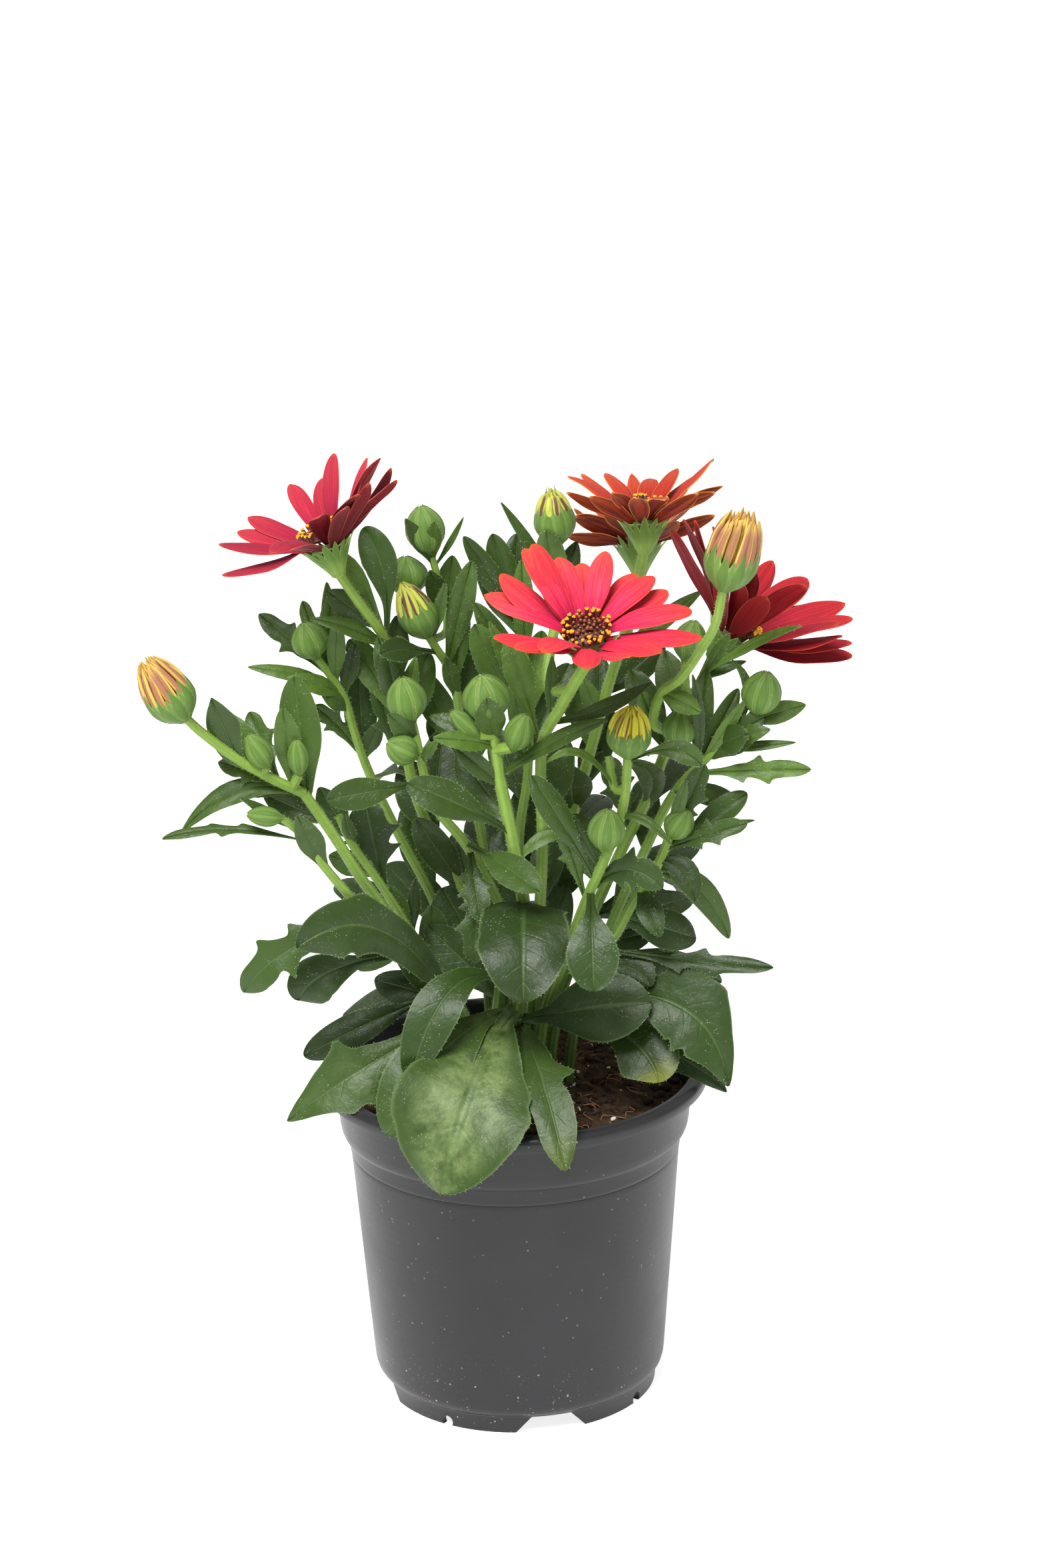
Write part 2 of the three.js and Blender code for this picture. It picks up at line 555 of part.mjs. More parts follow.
    leaves: [
      [-13.5, 200, -11, 225.5, -6, 6.5, 0, 85, 'oval'],
      [-18.5, 211, -15, 227.5, -2, 3.5, 0, 75, 'lance'],
      [-16, 219, -19, 231, -4, 6, 0, 85, 'oval'],
      [-15.2, 216, -13, 235, 3, 8, 0, 80, 'oval'],
      [-14.2, 206, -8, 233.5, -6, 7, 0, 80, 'oval'],
      [-17, 208, -32, 209, -19, 7, 0, 60, 'spoon', -25, 209.5],
      [-13.2, 195, -15.5, 207.5, -8, 4.5, 0, 85, 'lance'],
      [-18.2, 233, -25, 245, -7, 4.5, 0, 70, 'lance'],
      [-18.4, 234, -17.5, 244, -8, 4.5, 0, 85, 'lance'],
      [-17.6, 232, -10, 245, 2, 1.8, -0.15, 60, 'lance'],
      [-11, 180, -24, 205, 9, 9, 0, 80, 'oval'],
      [-8, 164, -20, 193, 11, 10, 0, 80, 'toothed'],
      [-10, 175, -4, 203, 9, 9, 0, 80, 'oval'],
      [-5, 142, -6, 166, 24, 13, 0.1, 40, 'spoon'],
      [-12, 186, -20, 180, 22, 11, 0.12, 30, 'spoon'],
      [-3, 120, -16, 116, 50, 17, 0.15, 25, 'spoon'],
      [-12, 190, -9.5, 213, 4, 8, 0, 85, 'oval'],
    ],
  },
  {
    name: 'shoot_centre_back',
    root: [4, 10],
    radius: [1.5, 1.1],
    stems: [
      [[2.5, 112, 11], [3, 158, 7], [5.5, 175, 7], [6, 200, 10], [3, 222, 12]],
    ],
    leaves: [
      [4, 217, -10, 240, -2, 6, 0.04, 60, 'oval'],
      [3.5, 219, 3.8, 240.5, 5, 8, 0, 85, 'oval'],
      [4.5, 212, -6, 234, 7, 8, 0, 85, 'oval'],
      [5, 205, 5, 233, -5, 6, 0, 80, 'oval'],
      [5.5, 195, -7.5, 222, -4, 7, 0.08, 60, 'oval'],
      [5.5, 192, -4, 217, -8, 5, 0.08, 60, 'oval'],
      [5.7, 185, -7.5, 215.5, -9, 9, 0, 75, 'spoon'],
      [5.7, 180, 2, 199, -6, 6, 0, 85, 'oval'],
      [4, 168, -3, 187, 9, 10, 0, 80, 'oval'],
      [5.5, 182, 17, 205, 11, 9, 0, 80, 'oval'],
      [3, 140, -1, 160, 13, 12, 0, 80, 'oval'],
      [3, 152, 14, 142, 30, 13, 0.15, 25, 'spoon'],
      [5.5, 180, -3, 176, 24, 11, 0.12, 30, 'spoon'],
      [6, 190, 10, 214, 6, 8, 0, 85, 'oval'],
      [3.5, 217, -2.5, 240.5, 2, 8, 0, 80, 'oval'],
      [3, 150, 5, 172, 6, 9, 0, 85, 'oval'],
    ],
  },
  {
    name: 'shoot_buds_right_front',
    root: [7, -5],
    radius: [1.6, 1.2],
    stems: [
      [
        [8, 103, -6], [15, 124, -14], [21, 140, -22], [25, 149, -26], [29, 159, -27], [31.2, 168, -28],
        [32, 179, -28],
      ],
      [[28.5, 170, -25], [27, 179, -23]],
      [[25.5, 153.5, -31]],
    ],
    opening: [
      ['bud_yellow', 32, 178.5, -28, 33, 193, -29, 11, 0.5],
    ],
    buds: [
      [25.5, 153, -31, 26.7, 164, -33, 8.8],
    ],
    leaves: [
      [22, 142, 22, 112.5, -18, 14, 0.14, 55, 'spoon'],
      [21, 141, 41, 141.5, -9, 12, 0, 72, 'toothed', 31, 147],
      [20, 138, 14, 161, -3, 7, 0, 80, 'toothed'],
      [22.8, 144, 6.5, 174, -2, 7.5, 0.08, 60, 'spoon'],
      [24.5, 148, 16, 164, -1, 3, 0, 60, 'lance'],
      [31.8, 176, 51.5, 176, -6, 6, 0, 60, 'spoon', 43, 180.5],
      [28.4, 170, 10.5, 177.5, -4, 2.6, 0, 40, 'lance', 19.5, 180],
      [29.8, 161, 43.5, 153.5, -6, 3, 0, 40, 'lance', 36, 161],
    ],
  },
  {
    name: 'shoot_right_low',
    root: [10, -1],
    radius: [1.5, 1.2],
    stems: [
      [[12, 104, -4], [21, 118, -10], [29.5, 131, -15], [33, 138, -16], [39, 147, -18], [43, 156.5, -21]],
    ],
    buds: [
      [43, 156, -21, 48, 163.5, -23, 7],
    ],
    leaves: [
      [41.5, 153, 63.5, 159.5, -5, 7.5, 0.06, 60, 'toothed'],
      [42, 154.5, 65.5, 160, 3, 3, 0.08, 40, 'lance'],
      [41, 151, 63.5, 168, 5, 7, 0, 70, 'spoon'],
      [42.5, 155, 52.5, 176, -1, 9, 0.04, 75, 'toothed'],
      [42.8, 156, 47.5, 172, -6, 3.5, 0, 70, 'lance'],
      [38, 146, 59, 126.5, 3, 7.5, 0, 60, 'oval', 50, 141.5],
      [40.5, 150, 49.5, 137.5, -6, 7.5, 0, 65, 'oval', 46.5, 146],
      [35.5, 141.5, 40, 127.5, -10, 7, 0.15, 60, 'oval'],
      [30.5, 133, 50, 127, 4, 11, 0.08, 60, 'oval'],
      [25, 124, 70.5, 118, -8, 7.5, 0, 55, 'toothed', 48, 120.6],
      [22, 120, 37.5, 113.5, -7, 10, 0, 65, 'oval', 32, 119],
      [17.5, 112, 58, 84, -20, 21, 0, 62, 'cornered', 46, 107, 4],
      [15, 108, 58, 83, -12, 9, 0, 50, 'lance', 40, 96],
      [24, 122, 57, 114, 14, 8, 0, 70, 'oval', 42, 120],
      [14, 107, 39, 85.5, -20, 17, 0, 60, 'spoon', 32, 98, 2],
    ],
  },
  {
    name: 'shoot_bloom_right',
    root: [9.5, 5],
    radius: [1.6, 1.35],
    stems: [
      [
        [12, 108, 6], [21, 132, 2], [30, 152.5, -3], [37.5, 168, -5], [42, 180, -5], [47, 191, -4],
        [51.5, 199, -4], [54.8, 204.7, -3],
      ],
      [[39, 188, -14], [41, 196, -20], [46, 200, -25], [51, 207, -31], [55.5, 215, -37], [57.5, 224.5, -40]],
      [[47.5, 197, -10], [47.5, 206, -9]],
      [[45.5, 182, -15]],
    ],
    heads: ['bloom_right'],
    opening: [
      ['bud_bronze', 57.5, 224, -40, 63.5, 245.5, -42, 13.5, 0.42],
    ],
    buds: [
      [47.5, 205, -9, 50, 216, -9, 8],
      [45.5, 181.5, -15, 46.3, 191.5, -16, 8.5],
    ],
    leaves: [
      [53.5, 202.5, 77, 214.5, -22, 4, 0.02, 40, 'lance'],
      [53, 202, 59, 212, -24, 3.6, 0, 70, 'lance'],
      [52, 200, 63.5, 204.5, 0, 3, 0.08, 45, 'lance'],
      [41, 196, 51.5, 190.5, -5, 6, 0.1, 60, 'oval'],
      [39, 186, 35.5, 197, -4, 5.5, 0, 85, 'oval'],
      [36, 164, 32.5, 177.5, -9, 7, 0, 75, 'oval', 38.5, 172],
      [46.5, 190, 42, 208, 9, 9, 0, 80, 'oval'],
      [42, 180, 33, 203, 12, 9, 0, 80, 'oval'],
      [33, 158, 27, 179, 9, 10, 0, 80, 'toothed'],
      [25, 142, 17, 163, 9, 11, 0, 80, 'oval'],
      [36, 164, 50, 180, 26, 10, 0.1, 35, 'oval'],
      [27, 146, 45, 140, 26, 12, 0.12, 30, 'spoon'],
      [22, 134, 43, 139, 8, 10, 0.08, 60, 'oval'],
      [18, 124, 38, 129, 6, 9, 0.05, 60, 'oval'],
    ],
  },
  {
    name: 'shoot_blooms_back',
    root: [8.5, 11],
    radius: [1.6, 1.4],
    stems: [
      [[8, 114, 15], [14, 150, 17], [22, 180, 16], [27, 198, 13], [32, 214, 5], [36.6, 234.5, -5.5]],
      [[28, 200, 24], [33, 215, 29], [35.3, 229, 29]],
    ],
    heads: ['bloom_top', 'bloom_back'],
    leaves: [
      [11, 136, 15, 153, -6, 12, 0, 85, 'oval'],
      [17.5, 163, 17, 176.5, -7, 11, 0, 85, 'oval'],
      [25.5, 190, 20.5, 200.5, -3, 5, 0, 80, 'oval'],
      [27, 197, 42, 210, 8, 9, 0, 80, 'oval'],
      [15, 152, 26, 168, 24, 11, 0.1, 35, 'oval'],
      [8, 122, 24, 117, 46, 17, 0.15, 25, 'spoon'],
      [22, 180, 36, 180, 24, 11, 0.12, 30, 'spoon'],
      [11, 136, 4, 128, 30, 13, 0.15, 25, 'spoon'],
      [29, 205, 52, 224, 4, 5, 0.1, 60, 'toothed'],
      [22, 181, 18, 205, 8, 11, 0, 85, 'oval'],
      [19, 168, 28, 192, 6, 9, 0, 85, 'oval'],
      [26, 188, 25, 208, 8, 7, 0, 85, 'oval'],
    ],
  },
  {
    name: 'shoot_bud_right',
    root: [15, 1],
    radius: [1.5, 1.1],
    stems: [
      [
        [18, 108, 0], [28, 134, -6], [37, 154, -9], [44, 168, -13], [52, 177, -15], [62, 186.5, -16],
        [66, 190.5, -16],
      ],
    ],
    buds: [
      [66, 190, -16, 69, 201.5, -17, 9.5],
    ],
    leaves: [
      [48, 173, 80.5, 174, -4, 7.5, 0.06, 60, 'toothed'],
      [55, 179.5, 76.5, 181.5, -4, 3, 0.03, 45, 'lance'],
      [63, 187.5, 79, 192, 4, 6, 0.05, 60, 'oval'],
      [53, 178, 68, 189, -3, 9, 0.08, 65, 'oval'],
      [56, 181, 64, 184.5, -8, 8, 0.1, 60, 'oval'],
      [58, 183, 69.5, 185.5, -6, 5, 0.05, 60, 'lance'],
      [50, 175.5, 61.5, 197, 4, 5.5, 0.03, 75, 'oval'],
      [51, 176.5, 63.5, 194, -4, 3.5, 0.03, 70, 'lance'],
      [60, 185, 59.5, 205, 4, 2.6, 0, 85, 'lance', 63.8, 196],
      [50, 176, 53, 202.5, 9, 6, 0, 80, 'oval'],
      [49.5, 175, 49.3, 201, -9, 3, 0, 80, 'lance', 51, 188],
      [28, 134, 39, 150, 9, 11, 0, 80, 'oval'],
      [31, 141, 50, 154, 24, 10, 0.1, 40, 'oval'],
      [20, 112, 44, 108, 30, 15, 0.12, 35, 'spoon'],
      [36.5, 153, 36, 172, 24, 9, 0, 75, 'oval'],
      [44, 168, 61, 166, 4, 6, 0.1, 60, 'oval'],
      [27, 130, 49, 139, 18, 9, 0.08, 50, 'oval'],
    ],
  },
];

// Open heads: the middle of the face [x, z, depth], its axis, the length of its rays, and the tips
// [x, z, way]: a ray reaches its tip in front of the face (-1) or behind it (1). Its share of the
// head's length, its own bow and its turn about its own length, in degrees, may follow.
const HEADS = {
  bloom_left: {
    at: [-45.8, 239, -3],
    axis: [-0.34, 0.04, 0.94],
    length: 28,
    color: RED,
    rays: [
      [-74, 239.5, -1, 1, 0.02, -15], [-73, 231.5, -1, 1, -0.07], [-69, 243, 1, 1, 0.02, -25],
      [-60, 236.5, -1], [-55, 238.5, -1], [-54.5, 254.5, 1], [-47, 257.5, 1], [-43, 262.5, 1],
      [-35.5, 262.5, 1, 1, 0.02, -30], [-31, 261, 1, 1, 0.06, -30], [-28, 258.7, -1, 0.95, 0.02, -30],
      [-26.5, 254.3, -1, 0.9, 0.06, -25], [-34, 254.5, -1, 1, 0.02, -25], [-37, 251, -1, 1, 0.08, -25],
      [-41.5, 250, -1, 1, 0.02, -20], [-47.5, 246, -1], [-66, 247, 1, 1, 0.02, -10],
    ],
  },
  bloom_front: {
    at: [21.6, 211.5, -38],
    axis: [0, -0.45, 0.89],
    length: 29,
    color: RED,
    rays: [
      [-3, 212, -1], [-4.8, 223, 1], [-1, 229.5, 1], [5.5, 236, 1], [8, 238, 1],
      [14.5, 234, 1], [20.5, 233, 1, 1.04], [27, 235, 1], [34.5, 230, 1], [39.5, 228.5, 1],
      [43, 225, 1], [49.5, 218.5, 1], [52, 212, -1], [41, 206.5, -1], [33, 206, -1],
      [21.5, 203, -1], [3.5, 211, -1], [10, 208.5, -1],
    ],
  },
  bloom_top: {
    at: [37, 244, -6],
    axis: [0, 0.1, 1],
    length: 25,
    color: BRONZE,
    rays: [
      [17, 252, -1, 1, 0.02, 30], [17.5, 255.5, 1, 1, 0.06, 20], [21, 257, 1], [27, 255.5, 1],
      [34, 256, 1], [39, 254.5, 1], [42.5, 254.5, 1], [46, 256, 1], [49.5, 254.5, 1],
      [55.5, 258.5, 1, 1, 0.04, -10], [57.5, 253.5, -1, 1, 0.02, -30], [55.5, 249.5, -1, 1, 0.06, -30],
      [51, 250.5, -1, 1, 0.02, -25], [42.5, 249, -1], [35, 251, -1], [29, 250, -1, 1, 0.06, 20],
      [23, 251, -1, 1, 0.02, 30],
    ],
  },
  bloom_back: {
    at: [35.5, 237.5, 33],
    axis: [0, 0.45, 0.87],
    length: 24,
    color: BRONZE,
    rays: [
      [17, 240, -1, 0.9, 0.02, 35], [19, 244, -1, 0.9, 0.06, 35], [18.5, 247, 1, 0.9, 0.02, 25],
      [23, 247, 1], [55.5, 245, -1, 1, 0.02, -35], [52, 248, 1, 1, 0.06, -20],
      [46, 243, -1, 0.9, 0.02, -20], [40, 246, -1, 0.9], [33, 247, -1, 0.9], [27, 246, -1, 0.9, 0.06, 15],
      [29, 245, 1], [37, 244, 1], [45, 246, 1],
    ],
  },
  bloom_right: {
    at: [60, 212.5, -3],
    axis: [0.62, -0.05, 0.78],
    length: 31,
    color: RED,
    rays: [
      [44, 240.5, 1, 0.98], [47, 243, -1], [50.5, 243.5, 1], [55, 241, 1], [58, 236, -1],
      [65, 232, -1], [71, 232, 1], [79.5, 226.5, 1], [82.5, 219.5, 1], [89, 219, 1, 1, 0.06, 10],
      [88, 215.5, -1, 1, 0.02, 15], [91, 214.5, 1, 1, 0.06, 15], [89, 211.5, -1, 1, -0.02, 20],
      [90.5, 209.5, -1, 1, -0.04, 20], [91.5, 207, -1, 1, -0.07, 20], [79, 225, -1], [70, 223, -1],
      [61, 228, -1],
    ],
  },
};

// ---------------------------------------------------------------- one leafy stem

// The curve and solid of every stem of a shoot, each stalk starting on the stem nearest to it.
function growStems({ root: [rootX, rootY], radius: [thick, thin], stems, heads = [] }) {
  const grown = [];
  const nearest = (x, z) => {
    let best = null;
    let least = Infinity;
    for (const { curve } of grown) {
      for (const point of curve.getSpacedPoints(60)) {
        const spot = spotOf(point);
        const miss = Math.hypot(spot.x - x, spot.z - z);
        if (miss < least) [best, least] = [point, miss];
      }
    }
    return best;
  };
  stems.forEach((places, i) => {
    const points = places.map((place) => seen(...place));
    if (heads[i]) points[points.length - 1] = openHead(HEADS[heads[i]]).foot;
    if (i === 0) {
      const foot = [v(rootX, rootY, STEM_GROUND - ROOT_DEPTH), v(rootX, rootY, STEM_GROUND)];
      grown.push(tube([...foot, ...points], thick, thin));
    } else {
      grown.push(tube([nearest(places[0][0], places[0][1]), ...points], thin, thin * 0.85));
    }
  });
  return { grown, nearest };
}

const SHORT_LEAF = 19; // a shorter or narrower leaf has only a few points in its outline
const NARROW_LEAF = 5.2;
const SLIM_LEAF = 9.6;

function growShoot(plan) {
  const { grown, nearest } = growStems(plan);
  const solids = grown.map((stem) => stem.solid);
  const own = [];
  for (const [x, z, tipX, tipZ, back, width, bow, face, kind, midX, midZ, forward = 0] of plan.leaves) {
    const foot = nearest(x, z);
    const tip = seen(tipX, tipZ, foot.y + back);
    const middle = midX === undefined ? undefined : seen(midX, midZ, foot.y + back / 2 - forward);
    const small = foot.distanceTo(tip) < SHORT_LEAF || width < NARROW_LEAF;
    const outline = small ? SMALL : OUTLINES[kind];
    const thin = small || width < SLIM_LEAF;
    solids.push(blade(foot, tip, {
      width, outline, facing: facingOf(face), bow, middle, ridge: thin ? -1 : 0,
      half: thin ? SLIM_HALF_THICK : LEAF_HALF_THICK,
    }));
  }
  for (const [x, z, depth, topX, topZ, topDepth, width] of plan.buds ?? []) {
    solids.push(closedBud(seen(x, z, depth), seen(topX, topZ, topDepth), width));
  }
  for (const [name, x, z, depth, topX, topZ, topDepth, width, split] of plan.opening ?? []) {
    const bud = openingBud(seen(x, z, depth), seen(topX, topZ, topDepth), width, split);
    solids.push(bud.cup);
    own.push(meshOf(`${name}_rays`, bud.rays, YELLOW));
  }
  for (const name of plan.heads ?? []) {
    const head = openHead(HEADS[name]);
    solids.push(head.cup);
    own.push(meshOf(`${name}_rays`, head.ring.simplify(MERGE), HEADS[name].color, 0.5));
    own.push(meshOf(`${name}_disc`, head.disc, DISC));
  }
  return [meshOf(plan.name, join(solids).simplify(MERGE), GREEN), ...own];
}

// ---------------------------------------------------------------- pot

// The wall's section, up the outside, over the lip and down the inside, as [radius, height].
const POT_SECTION = [
  [0, FLOOR_UNDERSIDE], [35.4, FLOOR_UNDERSIDE], [35.4, 0], [FOOT_RADIUS, 0], [37.6, 4.7],
  [39.2, 6.4], [39.9, 9.5], [44.75, 71], [46.4, 74.2], [47.4, 77], [48.3, 86.8],
  [LIP_RADIUS, 88], [LIP_RADIUS, 90.4], [51.4, POT_HEIGHT], [48, POT_HEIGHT], [46.2, 78],
  [43.2, 70], [38.4, 10], [36, FLOOR_TOP], [0, FLOOR_TOP],
];

function makePot() {
  const shell = solidFrom(new THREE.LatheGeometry(
    POT_SECTION.map(([r, z]) => new THREE.Vector2(r, z)), POT_SIDES,
  ).rotateX(Math.PI / 2));
  const cuts = [];
  for (let i = 0; i < 4; i++) {
    const turn = THREE.MathUtils.degToRad(NOTCH_TURN + 90 * i);
    const outline = new THREE.Shape([
      new THREE.Vector2(-NOTCH_WIDTH / 2 - 1, -1), new THREE.Vector2(NOTCH_WIDTH / 2 + 1, -1),
      new THREE.Vector2(NOTCH_TOP_WIDTH / 2, NOTCH_HEIGHT),
      new THREE.Vector2(-NOTCH_TOP_WIDTH / 2, NOTCH_HEIGHT),
    ]);
    const notch = new THREE.ExtrudeGeometry(outline, { depth: 12, bevelEnabled: false })
      .rotateX(Math.PI / 2).translate(0, -28, 0).rotateZ(turn);
    const drain = new THREE.CylinderGeometry(DRAIN_RADIUS, DRAIN_RADIUS, 6, 8)
      .rotateX(Math.PI / 2).translate(0, -DRAIN_CIRCLE, FLOOR_TOP - 1).rotateZ(turn);
    const small = new THREE.CylinderGeometry(SMALL_NOTCH_RADIUS, SMALL_NOTCH_RADIUS, 12, 8)
      .translate(0, -36, 1.1).rotateZ(turn + Math.PI / 4);
    cuts.push(solidFrom(notch), solidFrom(drain), solidFrom(small));
  }
  return shell.subtract(join(cuts));
}

// ---------------------------------------------------------------- soil

const SOIL_SECTION = [
  [0, FLOOR_TOP + GAP], [35.3, FLOOR_TOP + GAP], [37.8, 10.2], [42.6, 70], [45.6, 78],
  [46.4, SOIL_TOP], [30, SOIL_TOP + 1.2], [0, SOIL_TOP + SOIL_CROWN],
];

function makeSoil() {
  const mass = new THREE.LatheGeometry(
    SOIL_SECTION.map(([r, z]) => new THREE.Vector2(r, z)), SOIL_SIDES,
  ).rotateX(Math.PI / 2);
  const place = mass.getAttribute('position');
  for (let i = 0; i < place.count; i++) {
    const [x, y, z] = [place.getX(i), place.getY(i), place.getZ(i)];
    const r = Math.hypot(x, y);
    if (z > SOIL_TOP - 1) {
      const clods = Math.sin(0.31 * x + 1) * Math.cos(0.27 * y) + 0.6 * Math.sin(0.63 * x - 0.5 * y);
      place.setZ(i, z + 0.5 * clods * (r > 1 ? 1 : 0));
    }
  }
  const holes = SHOOTS.map(({ root: [x, y], radius: [thick] }) => {
    const top = STEM_GROUND + 2.5; // clear of the highest clod
    const deep = ROOT_DEPTH + GAP + 2.5;
    return solidFrom(new THREE.CylinderGeometry(thick + GAP, thick + GAP, deep, 6)
      .rotateX(Math.PI / 2).translate(x, y, top - deep / 2));
  });
  return solidFrom(mass).subtract(join(holes));
}

// ---------------------------------------------------------------- the whole plant

const plant = new THREE.Group();
plant.add(meshOf('pot', makePot(), BLACK, 0.6));
plant.add(meshOf('soil', makeSoil(), PEAT, 0.95));
for (const plan of SHOOTS) plant.add(...growShoot(plan));

export default plant;
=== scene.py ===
# %% [markdown]
# # An African daisy in its nursery pot
#
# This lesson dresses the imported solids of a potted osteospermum. The solids already have the
# right size and place, with few faces. Here every leafy stem, flower head and bud is made again with
# its fine shape, and the pot and the compost get their real surface.
#
# We load the solids first. All places below are in millimetres, in the same frame as the solids: the
# pot stands on the origin, +Z is up and the front looks towards -Y.

import math

import bpy
import numpy as np
from mathutils import Matrix, Quaternion, Vector, noise


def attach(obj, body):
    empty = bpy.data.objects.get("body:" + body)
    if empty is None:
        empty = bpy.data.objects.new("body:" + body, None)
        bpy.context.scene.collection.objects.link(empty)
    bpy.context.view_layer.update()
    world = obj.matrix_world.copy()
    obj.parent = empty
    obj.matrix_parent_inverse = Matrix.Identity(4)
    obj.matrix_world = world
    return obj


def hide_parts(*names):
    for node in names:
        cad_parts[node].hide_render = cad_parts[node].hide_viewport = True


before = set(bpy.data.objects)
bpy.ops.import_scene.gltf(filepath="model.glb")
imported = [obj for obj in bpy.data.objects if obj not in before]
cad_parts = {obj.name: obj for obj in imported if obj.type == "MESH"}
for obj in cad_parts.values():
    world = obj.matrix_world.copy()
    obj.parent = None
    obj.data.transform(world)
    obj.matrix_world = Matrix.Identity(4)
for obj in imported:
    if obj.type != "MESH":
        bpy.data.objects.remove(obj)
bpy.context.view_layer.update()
print("solids to dress:", len(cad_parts))

# %% [markdown]
# ## Small tools
#
# An operator acts on everything that is selected, and loading leaves the solids selected, so we
# deselect first. `named` gives the primitive that was just added its name. `applied` adds a modifier
# and applies it at once. `joined` makes one piece of several.

# %% Select, name, apply and join
MM = 0.001


def deselect():
    bpy.ops.object.select_all(action="DESELECT")


def select_only(piece):
    deselect()
    piece.select_set(True)
    bpy.context.view_layer.objects.active = piece


def named(name):
    piece = bpy.context.object
    piece.name = piece.data.name = name
    return piece


def applied(piece, kind, **settings):
    select_only(piece)
    modifier = piece.modifiers.new(kind.lower(), kind)
    for key, value in settings.items():
        setattr(modifier, key, value)
    bpy.ops.object.modifier_apply(modifier=modifier.name)


def joined(pieces, name):
    deselect()
    for piece in pieces:
        piece.select_set(True)
    bpy.context.view_layer.objects.active = pieces[0]
    bpy.ops.object.join()
    return named(name)


deselect()
print("nothing selected:", not bpy.context.selected_objects)

# %% [markdown]
# A pattern is modelled once, at unit size, and never shown. Each copy has its own mesh, and its
# corners are moved to their place by a function, all at once, as NumPy arrays. `corners_of` reads a
# pattern's corners and `copy_of` makes the copy.

# %% Read a pattern and copy it
def corners_of(pattern):
    table = np.empty(len(pattern.data.vertices) * 3)
    pattern.data.vertices.foreach_get("co", table)
    return table.reshape(-1, 3)


def copy_of(pattern, corners, tone=None):
    mesh = pattern.data.copy()
    mesh.vertices.foreach_set("co", np.ascontiguousarray(corners, dtype=np.float32).ravel())
    if tone is not None:
        shade = mesh.attributes.new("tone", "FLOAT_COLOR", "POINT")
        shade.data.foreach_set("color", np.tile(tone, len(corners)).astype(np.float32))
    piece = bpy.data.objects.new(pattern.name, mesh)
    bpy.context.collection.objects.link(piece)
    return piece


def put_away(pattern):
    bpy.context.collection.objects.unlink(pattern)
    return pattern
